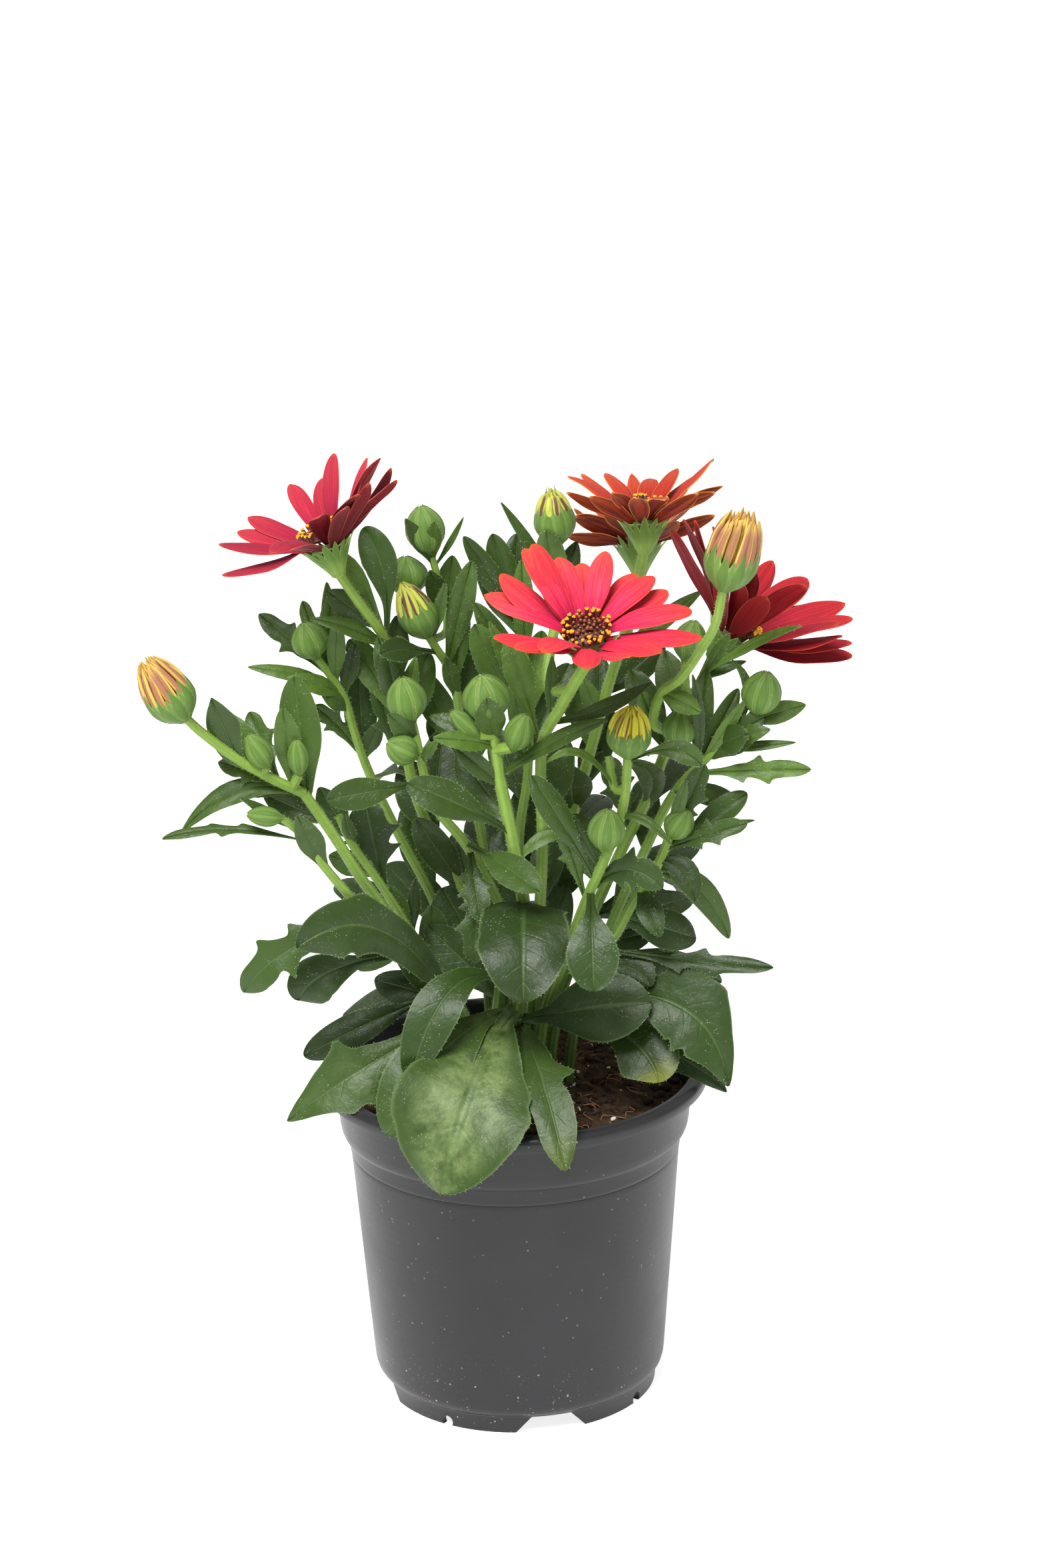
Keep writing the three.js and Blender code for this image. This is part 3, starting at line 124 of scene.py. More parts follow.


# %% [markdown]
# ## Finishes
#
# Plants are never one flat colour. Each finish mixes a few greens or reds by noise, by a pattern that
# runs along and across the leaf (the UV map: U goes across, V goes from root to tip), and by a
# `tone` that each leaf carries: how young it is, how yellowed, a random share and how mottled. A ray's
# tone has only its random share and how much painted shade it gets.
#
# These helpers keep the node code short. `node` adds a node and plugs its inputs, `calc` is a Math
# node, `blend` mixes two colours, and `painted` plugs the colour in and returns the material.

# %% Helpers for node materials
class Finish:
    def __init__(self, name, **shader):
        self.material = bpy.data.materials.new(name)
        self.material.use_nodes = True
        self.tree = self.material.node_tree
        self.shader = self.tree.nodes["Principled BSDF"]
        for socket, value in shader.items():
            self.shader.inputs[socket.replace("_", " ")].default_value = value

    def node(self, kind, inputs=(), **settings):
        made = self.tree.nodes.new("ShaderNode" + kind)
        for key, value in settings.items():
            setattr(made, key, value)
        for socket, value in dict(inputs).items():
            self.plug(made.inputs[socket], value)
        return made

    def plug(self, socket, value):
        if isinstance(value, bpy.types.NodeSocket):
            self.tree.links.new(value, socket)
        else:
            socket.default_value = value

    def calc(self, what, a, b=0.0):
        return self.node("Math", {0: a, 1: b}, operation=what).outputs[0]

    def times(self, a, b):
        return self.calc("MULTIPLY", a, b)

    def plus(self, a, b):
        return self.calc("ADD", a, b)

    def minus(self, a, b):
        return self.calc("SUBTRACT", a, b)

    def flipped(self, share):
        return self.minus(1.0, share)

    def blend(self, share, first, second, strength=None):
        """Mixes the second colour into the first, by a share that a strength may weaken."""
        if strength is not None:
            share = self.times(share, strength)
        made = self.node("Mix", data_type="RGBA")
        factor, one, other = made.inputs[0], made.inputs[6], made.inputs[7]
        for socket, value in ((factor, share), (one, first), (other, second)):
            self.plug(socket, (*value, 1) if isinstance(value, tuple) else value)
        return made.outputs[2]

    def ramp(self, share, stops):
        made = self.node("ValToRGB", {0: share})
        while len(made.color_ramp.elements) < len(stops):
            made.color_ramp.elements.new(0.5)
        for element, (place, color) in zip(made.color_ramp.elements, stops):
            element.position = place
            element.color = (*color, 1)
        return made.outputs[0]

    def spread(self, share, low, high):
        """Stretches the part of a share between low and high to 0 and 1, with soft ends."""
        made = self.node("MapRange", {0: share, 1: low, 2: high}, interpolation_type="SMOOTHSTEP")
        return made.outputs[0]

    def place(self):
        return self.node("TexCoord").outputs["Object"]

    def height(self):
        return self.node("SeparateXYZ", {0: self.place()}).outputs[2]

    def grain(self, scale, detail=3.0, roughness=0.55):
        return self.node("TexNoise", {"Vector": self.place(), "Scale": scale, "Detail": detail,
                                      "Roughness": roughness}).outputs[0]

    def specks(self, scale, core, rim):
        """Small round spots, one in each cell of a Voronoi pattern, soft from core to rim."""
        cells = self.node("TexVoronoi", {"Vector": self.place(), "Scale": scale})
        return self.flipped(self.spread(cells.outputs["Distance"], core, rim))

    def stripes(self, share, count):
        return self.calc("PINGPONG", self.times(share, count), 0.5)

    def across_and_along(self):
        split = self.node("SeparateXYZ", {0: self.node("UVMap", uv_map="UVMap").outputs[0]})
        return split.outputs[0], split.outputs[1]

    def off(self, across):
        """How far a point lies from the midrib: 0 on the rib, 1 at the edge."""
        return self.times(self.calc("ABSOLUTE", self.minus(across, 0.5)), 2.0)

    def streaks(self, across, along, count, seed=0.0):
        """Noise that is drawn out lengthwise, from root to tip."""
        stretched = self.node("CombineXYZ", {0: self.times(across, count), 1: self.times(along, 1.6),
                                             2: seed}).outputs[0]
        return self.node("TexNoise", {"Vector": stretched, "Scale": 1.0, "Detail": 3.0}).outputs[0]

    def tone(self):
        shade = self.node("Attribute", attribute_name="tone").outputs
        split = self.node("SeparateColor", {0: shade["Color"]})
        return split.outputs[0], split.outputs[1], split.outputs[2], shade["Alpha"]

    def bump(self, height, distance, strength):
        made = self.node("Bump", {"Height": height, "Distance": distance, "Strength": strength})
        self.plug(self.shader.inputs["Normal"], made.outputs[0])

    def painted(self, body):
        self.plug(self.shader.inputs["Base Color"], body)
        return self.material


print("finishes are made of Blender's own noise, cells, stripes and ramps")

# %% [markdown]
# ### Leaf green
#
# The upper face of an osteospermum leaf is a deep, slightly greyish green with a pale midrib, fine
# side veins that slant towards the tip, and a thin pale edge. Old leaves are darker, young ones are
# bright, and some tips have yellowed. The underside is paler and duller.
#
# How far a point lies from the midrib is |U - 0.5| * 2, from 0 on the rib to 1 at the edge. The side
# veins are stripes of "along minus a little across", so they slant.

# %% Leaf finishes
MOTTLE = (0.25, 0.335, 0.12)
YELLOW_TIP = (0.34, 0.36, 0.045)
LEAF_DUST = (0.4, 0.42, 0.34)


def leaf_finish(name, old, young, rib, edge, rough):
    fin = Finish(name, Roughness=rough, Specular_IOR_Level=0.37, Sheen_Weight=0.02, Sheen_Roughness=0.5)
    across, along = fin.across_and_along()
    youth, yellowed, chance, mottled = fin.tone()
    off = fin.off(across)
    lighter, darker = (tuple(part * share for part in old) for share in (1.5, 0.5))
    body = fin.blend(youth, old, young)
    body = fin.blend(fin.spread(fin.grain(240.0, 5.0, 0.65), 0.35, 0.72), body, lighter, 0.45)
    body = fin.blend(chance, body, darker, 0.6)
    patches = fin.spread(fin.grain(110.0, 5.0, 0.65), 0.36, 0.68)
    patches = fin.times(patches, fin.flipped(fin.spread(off, 0.35, 0.9)))
    body = fin.blend(fin.times(patches, mottled), body, MOTTLE)
    tip = fin.spread(fin.plus(along, fin.times(fin.grain(90.0), 0.3)), 0.92, 1.2)
    body = fin.blend(fin.times(tip, yellowed), body, YELLOW_TIP)
    stripe = fin.stripes(fin.minus(along, fin.times(off, 0.18)), 8.0)
    vein = fin.times(fin.flipped(fin.spread(stripe, 0.0, 0.1)), fin.minus(0.8, off))
    vein = fin.calc("MAXIMUM", vein, 0.0)
    body = fin.blend(vein, body, rib, 0.1)
    midrib = fin.flipped(fin.spread(off, 0.01, 0.09))
    body = fin.blend(midrib, body, rib, 0.32)
    body = fin.blend(fin.spread(off, 0.92, 0.99), body, edge, 0.45)
    dust = fin.times(fin.specks(1300.0, 0.1, 0.24), fin.spread(fin.grain(200.0), 0.5, 0.62))
    body = fin.blend(dust, body, LEAF_DUST, 0.6)
    quilt = fin.plus(fin.times(fin.grain(650.0, 3.0, 0.6), 0.8), fin.times(fin.grain(170.0, 1.0, 0.5), 1.9))
    fin.bump(fin.minus(quilt, fin.plus(fin.times(vein, 0.35), midrib)), 0.00045, 0.5)
    return fin.painted(body)


LEAF = leaf_finish("leaf_upper_face", (0.022, 0.05, 0.0055), (0.14, 0.26, 0.03), (0.1, 0.17, 0.045),
                   (0.12, 0.19, 0.06), 0.43)
LEAF_UNDER = leaf_finish("leaf_underside", (0.055, 0.105, 0.022), (0.17, 0.29, 0.055), (0.13, 0.2, 0.06),
                         (0.14, 0.21, 0.07), 0.55)
print("leaf finishes:", LEAF.name, LEAF_UNDER.name)

# %% [markdown]
# ### Stem, bract and hair
#
# Young stems are light green with lengthwise ribs, and darker lower down, which is painted shade. Bracts,
# the small scales that wrap a bud or a flower head, have a darker keel and pale, thin edges.

# %% Stem and bract finishes
GREEN_GLOW = (0.002, 0.004, 0.001)  # how far red, green and blue light go into green tissue, in metres


def stem_finish():
    fin = Finish("stem_green", Roughness=0.48, Specular_IOR_Level=0.3, Subsurface_Weight=0.06,
                 Subsurface_Radius=GREEN_GLOW)
    rib = fin.stripes(fin.across_and_along()[0], 7.0)
    # painted shade: the stem is darker low down, where the leaves shade it
    body = fin.blend(fin.spread(fin.height(), 0.09, 0.19), (0.08, 0.15, 0.025), (0.21, 0.35, 0.048))
    body = fin.blend(fin.spread(rib, 0.1, 0.45), body, (0.32, 0.47, 0.11), 0.3)
    body = fin.blend(fin.spread(fin.grain(300.0), 0.4, 0.7), body, (0.1, 0.19, 0.026), 0.25)
    fin.bump(fin.plus(rib, fin.times(fin.grain(1800.0), 0.4)), 0.0003, 0.6)
    return fin.painted(body)


def bract_finish(name, keel, flank, edge, edge_from, pale_foot=0.0):
    fin = Finish(name, Roughness=0.48, Specular_IOR_Level=0.3, Subsurface_Weight=0.05,
                 Subsurface_Radius=GREEN_GLOW)
    across, along = fin.across_and_along()
    lines = fin.spread(fin.streaks(across, along, 13.0), 0.4, 0.65)
    body = fin.blend(lines, keel, flank, 0.6)
    body = fin.blend(fin.flipped(fin.spread(along, 0.1, 0.6)), body, (0.3, 0.46, 0.09), pale_foot)
    body = fin.blend(fin.spread(fin.off(across), edge_from, edge_from + 0.25), body, edge, 0.8)
    body = fin.blend(fin.spread(fin.grain(420.0, 4.0), 0.4, 0.7), body, keel, 0.2)
    fin.bump(fin.plus(fin.times(fin.grain(1500.0), 0.4), lines), 0.00016, 0.5)
    return fin.painted(body)


STEM = stem_finish()
BRACT = bract_finish("bract_green", (0.1, 0.2, 0.025), (0.18, 0.32, 0.045), (0.34, 0.46, 0.13), 0.75, 0.7)
BUD_GREEN = bract_finish("bud_green", (0.095, 0.185, 0.03), (0.14, 0.25, 0.04), (0.23, 0.34, 0.08), 0.68)
BUD_PALE = bract_finish("bud_pale", (0.13, 0.23, 0.045), (0.18, 0.29, 0.055), (0.26, 0.37, 0.1), 0.4)
HAIR = Finish("plant_hair", Base_Color=(0.45, 0.54, 0.28, 1), Roughness=0.6).material
print("stem, bract and hair finishes ready")

# %% [markdown]
# ### Ray florets
#
# The rays of these daisies change from root to tip: they are darkest at the disc, then pink or
# crimson, then scarlet, coral or bronze, with a paler orange rim. Their backs are darker, with maroon
# stripes. So a ray has two finishes, one for its face and one for its back, each a colour ramp along
# the ray with fine lengthwise streaks.

# %% Ray finishes
def ray_finish(name, stops, streak, rim, streak_share=0.35, rim_share=0.8, rim_from=0.94, lines_across=15.0):
    fin = Finish(name, Roughness=0.55, Specular_IOR_Level=0.12, Subsurface_Weight=0.06,
                 Subsurface_Radius=(0.004, 0.001, 0.001), Sheen_Weight=0.03, Sheen_Roughness=0.4)
    across, along = fin.across_and_along()
    chance, shade = fin.tone()[2:]
    # painted shade: the tone's shade share mixes the dark streak colour into the ray
    body = fin.blend(shade, fin.ramp(along, stops), streak, 0.5)
    lines = fin.spread(fin.streaks(across, along, lines_across, chance), 0.44, 0.6)
    fade = fin.flipped(fin.times(along, 0.55))
    body = fin.blend(fin.times(lines, fade), body, streak, streak_share)
    ragged = fin.plus(fin.off(across), fin.times(fin.streaks(across, along, 30.0, chance), 0.12))
    edge = fin.calc("MAXIMUM", fin.spread(ragged, rim_from, 1.05), fin.spread(along, 0.93, 1.0))
    body = fin.blend(edge, body, rim, rim_share)
    fin.bump(fin.plus(lines, fin.times(fin.grain(2500.0), 0.3)), 0.0002, 0.5)
    return fin.painted(body)


RAY_FINISHES = {
    "bloom_left": (
        ray_finish("crimson_ray_face",
                   [(0, (0.1, 0.006, 0.025)), (0.12, (0.32, 0.012, 0.045)), (0.35, (0.45, 0.02, 0.052)),
                    (1, (0.52, 0.042, 0.056))],
                   (0.2, 0.008, 0.03), (0.6, 0.1, 0.05), 0.4, 0.5),
        ray_finish("crimson_ray_back",
                   [(0, (0.11, 0.004, 0.01)), (0.5, (0.26, 0.01, 0.02)), (1, (0.42, 0.03, 0.035))],
                   (0.075, 0.003, 0.009), (0.5, 0.11, 0.03), 0.7, 0.7, 0.96, 7.0),
    ),
    "bloom_front": (
        ray_finish("coral_ray_face",
                   [(0, (0.24, 0.006, 0.05)), (0.12, (0.6, 0.016, 0.11)), (0.38, (0.84, 0.045, 0.11)),
                    (0.7, (0.88, 0.065, 0.085)), (1, (0.88, 0.09, 0.06))],
                   (0.52, 0.01, 0.035), (0.72, 0.1, 0.02), 0.75, 0.6, 0.99),
        ray_finish("coral_ray_back",
                   [(0, (0.16, 0.006, 0.01)), (0.5, (0.4, 0.016, 0.014)), (1, (0.55, 0.04, 0.018))],
                   (0.14, 0.005, 0.01), (0.7, 0.18, 0.03), 0.55),
    ),
    "bloom_top": (
        ray_finish("bronze_ray_face",
                   [(0, (0.2, 0.01, 0.01)), (0.4, (0.48, 0.04, 0.022)), (1, (0.58, 0.095, 0.04))],
                   (0.24, 0.012, 0.01), (0.62, 0.26, 0.06), 0.5),
        ray_finish("bronze_ray_back",
                   [(0, (0.22, 0.012, 0.006)), (0.5, (0.42, 0.045, 0.01)), (1, (0.55, 0.12, 0.02))],
                   (0.05, 0.006, 0.005), (0.62, 0.24, 0.04), 0.95, 0.85, 0.9, 6.0),
    ),
    "bloom_right": (
        ray_finish("scarlet_ray_face",
                   [(0, (0.12, 0.005, 0.016)), (0.15, (0.3, 0.009, 0.028)), (0.5, (0.44, 0.018, 0.034)),
                    (1, (0.5, 0.026, 0.028))],
                   (0.17, 0.006, 0.018), (0.6, 0.09, 0.03), 0.5, 0.5),
        ray_finish("scarlet_ray_back",
                   [(0, (0.12, 0.003, 0.006)), (0.5, (0.3, 0.006, 0.012)), (1, (0.44, 0.013, 0.017))],
                   (0.13, 0.003, 0.006), (0.5, 0.08, 0.02), 0.5, 0.5, 0.96, 7.0),
    ),
}
RAY_FINISHES["bloom_back"] = RAY_FINISHES["bloom_top"]
DISC_DARK = Finish("disc_floret_dark", Base_Color=(0.1, 0.024, 0.014, 1), Roughness=0.55).material
DISC_BUD = Finish("disc_floret_bud", Base_Color=(0.36, 0.115, 0.035, 1), Roughness=0.5).material
POLLEN = Finish("pollen_orange", Base_Color=(0.88, 0.4, 0.015, 1), Roughness=0.7).material
print("ray finishes for", ", ".join(RAY_FINISHES))

# %% [markdown]
# ## Where things stand
#
# A place in the plant is set out on the upright plane through the middle of the pot, as it stands
# from the eye in front, and is then slid along the sight line to its own depth. `seen` does that and
# `spot_of` undoes it. The solids are laid out by the same rule, from nearly the same rows, so both fit.

# %% Places along the sight line
EYE = np.array([4.0, -1138.0, 552.5])


def seen(x, z, depth):
    return EYE + (np.array([x, 0.0, z]) - EYE) * ((depth - EYE[1]) / -EYE[1])


def spot_of(points):
    return EYE + (points - EYE) * (-EYE[1] / (points[..., 1:2] - EYE[1]))


def unit(vector):
    return vector / np.linalg.norm(vector, axis=-1, keepdims=True)


def facing_of(degrees):
    turn = math.radians(degrees)
    return np.array([0.0, -math.sin(turn), math.cos(turn)])


print("the middle of the pot's lip is at", seen(0, 91.6, 0).round(1))

# %% [markdown]
# ## A stem
#
# A stem is a long tube. We add a cylinder, cut its side into many rings with subdivide and keep it as
# a pattern: straight, one unit long and one unit in radius. Every stem is a copy, bent along a smooth
# curve through its own few points. Blender's curve objects could make a tube too, but the leaves
# must know exactly where the stem runs, so we work the curve out ourselves. It is a Catmull-Rom
# curve, which passes through all its points.

# %% The straight stem pattern
def straight_stem(name, rings, sides):
    bpy.ops.mesh.primitive_cylinder_add(vertices=sides, radius=1, depth=1, end_fill_type="TRIFAN",
                                        location=(0, 0, 0.5))
    piece = named(name)
    bpy.ops.object.transform_apply(location=True)
    bpy.ops.object.mode_set(mode="EDIT")
    bpy.ops.mesh.select_mode(type="EDGE")
    bpy.ops.mesh.select_all(action="DESELECT")
    bpy.ops.object.mode_set(mode="OBJECT")
    for edge in piece.data.edges:
        low, high = (piece.data.vertices[i].co for i in edge.vertices)
        edge.select = abs(low.z - high.z) > 0.5
    bpy.ops.object.mode_set(mode="EDIT")
    bpy.ops.mesh.subdivide(number_cuts=rings)
    bpy.ops.mesh.select_mode(type="VERT")
    bpy.ops.object.mode_set(mode="OBJECT")
    layer = piece.data.uv_layers[0].data
    for polygon in piece.data.polygons:
        turns = []
        for index in polygon.loop_indices:
            corner = piece.data.vertices[piece.data.loops[index].vertex_index].co
            turns.append(math.atan2(corner.y, corner.x) / math.tau % 1)
        wraps = max(turns) - min(turns) > 0.5
        for index, turn in zip(polygon.loop_indices, turns):
            corner = piece.data.vertices[piece.data.loops[index].vertex_index].co
            layer[index].uv = (turn + 1 if wraps and turn < 0.5 else turn, corner.z)
    piece.data.materials.append(STEM)
    return put_away(piece)


LONG_STEM = straight_stem("long_stem", 44, 14)
SHORT_STEM = straight_stem("short_stem", 14, 10)
LONG_FROM = 30  # mm: what is longer gets the pattern with more rings
print("stem pattern:", len(LONG_STEM.data.polygons), "faces")

# %% A smooth curve through a few points
CURVE_STEPS = 201
NUDGE = 1e-4


class Curve:
    """A centripetal Catmull-Rom curve: it passes through all its points without loops."""

    def __init__(self, points):
        self.points = np.array(points, dtype=float)
        self.steps = np.linspace(0, 1, CURVE_STEPS)
        pace = np.linalg.norm(np.diff(self.at(self.steps), axis=0), axis=1)
        self.length = np.concatenate([[0], pace.cumsum()])

    def at(self, share):
        p = self.points
        last = len(p) - 1
        place = np.atleast_1d(share) * last
        start = np.minimum(place.astype(int), last - 1)
        t = (place - start)[:, None]
        ends = np.concatenate([[2 * p[0] - p[1]], p, [2 * p[-1] - p[-2]]])
        a, b, c, d = (ends[start + k] for k in range(4))
        gap = [np.linalg.norm(y - x, axis=1, keepdims=True) ** 0.5 for x, y in ((a, b), (b, c), (c, d))]
        out = ((b - a) / gap[0] - (c - a) / (gap[0] + gap[1]) + (c - b) / gap[1]) * gap[1]
        into = ((c - b) / gap[1] - (d - b) / (gap[1] + gap[2]) + (d - c) / gap[2]) * gap[1]
        return b + out * t + (3 * (c - b) - 2 * out - into) * t ** 2 + (2 * (b - c) + out + into) * t ** 3

    def along(self, share):
        near = np.atleast_1d(share)
        return unit(self.at(np.minimum(near + NUDGE, 1)) - self.at(np.maximum(near - NUDGE, 0)))

    def share_at(self, millimetres):
        return np.interp(millimetres, self.length, self.steps)

    def evenly(self, count):
        return self.at(self.share_at(np.linspace(0, self.length[-1], count + 1)))


def across_of(along, backwards=(0, 1, 0)):
    """Two directions across a curve: one to its side and one towards the back."""
    back = unit(np.array(backwards) - along * along[:, 1:2])
    return np.cross(along, back), back


def bent_stem(curve, from_radius, to_radius):
    pattern = LONG_STEM if curve.length[-1] > LONG_FROM else SHORT_STEM
    corners = corners_of(pattern)
    share = curve.share_at(corners[:, 2] * curve.length[-1])
    at = curve.at(share)
    side, back = across_of(curve.along(share))
    radius = (from_radius + (to_radius - from_radius) * share)[:, None]
    return copy_of(pattern, (at + (side * corners[:, :1] + back * corners[:, 1:2]) * radius) * MM)


print("a test curve is", round(Curve([(0, 0, 0), (0, 0, 50), (10, 0, 100)]).length[-1], 1), "mm long")

# %% [markdown]
# ## A leaf
#
# A leaf starts as a flat grid. Its rows are drawn in to the leaf's outline, which has its teeth, the
# last row is merged into the tip, and Solidify gives it two faces and a rim. That makes one flat
# pattern for each kind of leaf. A copy is then bent along its own midrib and folded up a little along
# the rib, with edges that wave. Doing this with curve modifiers would need two for each of some two
# hundred leaves, so the bending is a formula for all corners at once.
#
# An outline row is the share of the length and the half-width there, or both half-widths, left and
# right, where they differ.

# %% Outlines of the leaves
SPOON = [(0, 0.16), (0.14, 0.17), (0.3, 0.27), (0.46, 0.66), (0.6, 0.94), (0.72, 1), (0.86, 0.82),
         (0.96, 0.45), (1, 0)]
OVAL = [(0, 0.2), (0.2, 0.52), (0.4, 0.9), (0.56, 1), (0.76, 0.86), (0.92, 0.52), (1, 0)]
LANCE = [(0, 0.3), (0.3, 0.75), (0.55, 1), (0.8, 0.66), (0.95, 0.24), (1, 0)]
BROAD = [(0, 0.1), (0.2, 0.14), (0.4, 0.5), (0.56, 0.86), (0.7, 1, 1.02), (0.84, 0.82, 0.86),
         (0.95, 0.44), (1, 0)]
TOOTHED = [(0, 0.16), (0.26, 0.28), (0.38, 0.46, 0.68), (0.44, 0.56, 0.92), (0.47, 0.6, 0.64),
           (0.53, 0.82, 0.62), (0.58, 1.06, 0.72), (0.61, 0.72, 0.84), (0.66, 0.66, 1.04),
           (0.69, 0.7, 0.74), (0.82, 0.7, 0.62), (0.93, 0.42), (1, 0)]
LOBED = [(0, 0.3), (0.14, 0.48), (0.3, 0.56), (0.42, 0.62), (0.52, 0.78, 0.8), (0.58, 0.88, 0.9),
         (0.66, 0.78, 0.74), (0.74, 0.88, 0.7), (0.86, 0.66, 0.56), (0.95, 0.4, 0.36), (1, 0)]
FAN = [(0, 0.35), (0.1, 0.6), (0.17, 0.82, 0.9), (0.22, 1.12, 1), (0.26, 0.9, 0.84), (0.34, 0.86, 0.9),
       (0.48, 0.98, 0.94), (0.62, 0.96), (0.76, 0.84), (0.9, 0.56), (0.97, 0.28), (1, 0)]
CORNERED = [(0, 0.16), (0.3, 0.45), (0.38, 0.9, 0.72), (0.44, 1.36, 0.82), (0.5, 1.7, 0.94),
            (0.54, 1.46, 0.86), (0.62, 1.04, 1.04), (0.68, 0.78, 0.8), (0.76, 0.52, 0.84),
            (0.88, 0.28, 0.44), (1, 0)]
DRAWN_OUT = [(0, 0.16), (0.3, 0.3), (0.46, 0.56, 0.54), (0.52, 0.86, 0.7), (0.56, 1.04, 1.16),
             (0.6, 0.9, 0.92), (0.67, 0.96, 0.74), (0.74, 0.66, 0.62), (0.84, 0.4), (0.93, 0.22), (1, 0)]
SMALL = [(0, 0.3), (0.2, 0.55), (0.45, 1), (0.72, 0.86), (0.92, 0.4), (1, 0)]
MOST_WIDTH = 1.06  # no half-width goes past this, so the sharpest corners are blunt


def outline_at(rows, place):
    """A smooth outline: share and both half-widths at places from 0, the root, to 1, the tip."""
    table = np.array([(row[0], row[1], row[-1]) for row in rows], dtype=float)
    table = np.concatenate([table, [table[-2] * (1, -1, -1)]])
    index = np.clip(place, 0, 1) * (len(rows) - 1)
    start = np.minimum(index.astype(int), len(rows) - 2)
    t = (index - start)[:, None]
    a = table[np.maximum(start - 1, 0)]
    b, c, d = table[start], table[start + 1], table[start + 2]
    out, into = (c - a) / 2, (d - b) / 2
    curve = b + out * t + (3 * (c - b) - 2 * out - into) * t ** 2 + (2 * (b - c) + out + into) * t ** 3
    return np.clip(curve, 0, MOST_WIDTH)


TEETH_FROM, TEETH_TO = 0.34, 0.9
TOOTH_BACK = 0.78  # the share of a tooth that slopes gently, before its steep front


def teeth(share, count, depth, shift):
    """Saw teeth that point to the tip, unevenly spaced, on the outer part of the leaf only."""
    # the two sines make the teeth's spacing and their depth uneven
    saw = (share * count + shift + 0.25 * np.sin(9 * share + 7 * shift)) % 1
    reach = np.clip((share - TEETH_FROM) / 0.12, 0, 1) * np.clip((TEETH_TO - share) / 0.1, 0, 1)
    uneven = 0.65 + 0.35 * np.sin(14 * share + 5 * shift)
    bite = np.where(saw < TOOTH_BACK, 1 - saw / TOOTH_BACK, (saw - TOOTH_BACK) / (1 - TOOTH_BACK))
    return 1 - depth * uneven * reach * bite


print("half-widths of the spoon leaf:", outline_at(SPOON, np.linspace(0, 1, 6))[:, 1].round(2))

# %% The flat blade patterns
def flat_blade(name, rows, across, length_cuts, face, back, tooth_count=0, tooth_depth=0.0):
    bpy.ops.mesh.primitive_grid_add(x_subdivisions=across, y_subdivisions=length_cuts, size=2)
    piece = named(name)
    corners = corners_of(piece)
    place = (corners[:, 1] + 1) / 2
    # the columns stand a little closer together near the midrib
    off = np.sign(corners[:, 0]) * np.abs(corners[:, 0]) ** 1.3
    share, left, right = outline_at(rows, place).T
    half = np.where(off < 0, left, right)
    if tooth_count:
        # only the outermost column is bitten
        left_saw, right_saw = (teeth(share, tooth_count, tooth_depth, shift) for shift in (0, 0.4))
        half = half * np.where(np.abs(off) > 0.8, np.where(off < 0, left_saw, right_saw), 1)
    flat = np.stack([off * half, share, np.zeros_like(share)], axis=1)
    piece.data.vertices.foreach_set("co", flat.ravel())
    layer = piece.data.uv_layers[0].data
    for loop in piece.data.loops:
        layer[loop.index].uv = ((off[loop.vertex_index] + 1) / 2, share[loop.vertex_index])
    piece.data.attributes.new("off", "FLOAT", "POINT").data.foreach_set("value", off)
    bpy.ops.object.mode_set(mode="EDIT")
    bpy.ops.mesh.select_all(action="SELECT")
    bpy.ops.mesh.remove_doubles(threshold=1e-4)
    bpy.ops.object.mode_set(mode="OBJECT")
    # from -1 to 1, for each copy to scale to its own thickness
    applied(piece, "SOLIDIFY", thickness=2, offset=0, use_even_offset=False)
    piece.data.materials.append(face)
    piece.data.materials.append(back)
    for polygon in piece.data.polygons:
        polygon.material_index = 1 if polygon.normal.z < -0.5 else 0
    return put_away(piece)


# outline, faces across and along, teeth on each side and their depth
LEAF_KINDS = {
    "spoon": (SPOON, 8, 30, 5.5, 0.07), "oval": (OVAL, 8, 18), "lance": (LANCE, 8, 18),
    "lobed": (LOBED, 10, 44, 5, 0.05), "fan": (FAN, 10, 44, 5, 0.05), "drawn": (DRAWN_OUT, 10, 44, 5, 0.04),
    "cornered": (CORNERED, 10, 44, 5, 0.05), "broad": (BROAD, 10, 44, 7, 0.09),
    "toothed": (TOOTHED, 8, 38, 5, 0.22), "small": (SMALL, 6, 12),
}
LEAVES = {kind: flat_blade(kind + "_leaf", outline, across, cuts, LEAF, LEAF_UNDER, *saw)
          for kind, (outline, across, cuts, *saw) in LEAF_KINDS.items()}
print("leaf patterns:", {kind: len(leaf.data.polygons) for kind, leaf in LEAVES.items()})

# %% Bend a blade along its midrib
PETIOLE = 0.7  # half-width where a leaf leaves its stem


def off_of(piece):
    """How far each corner lies from the midrib, from -1 to 1, as the flat pattern has it."""
    off = np.empty(len(piece.data.vertices))
    piece.data.attributes["off"].data.foreach_get("value", off)
    return off


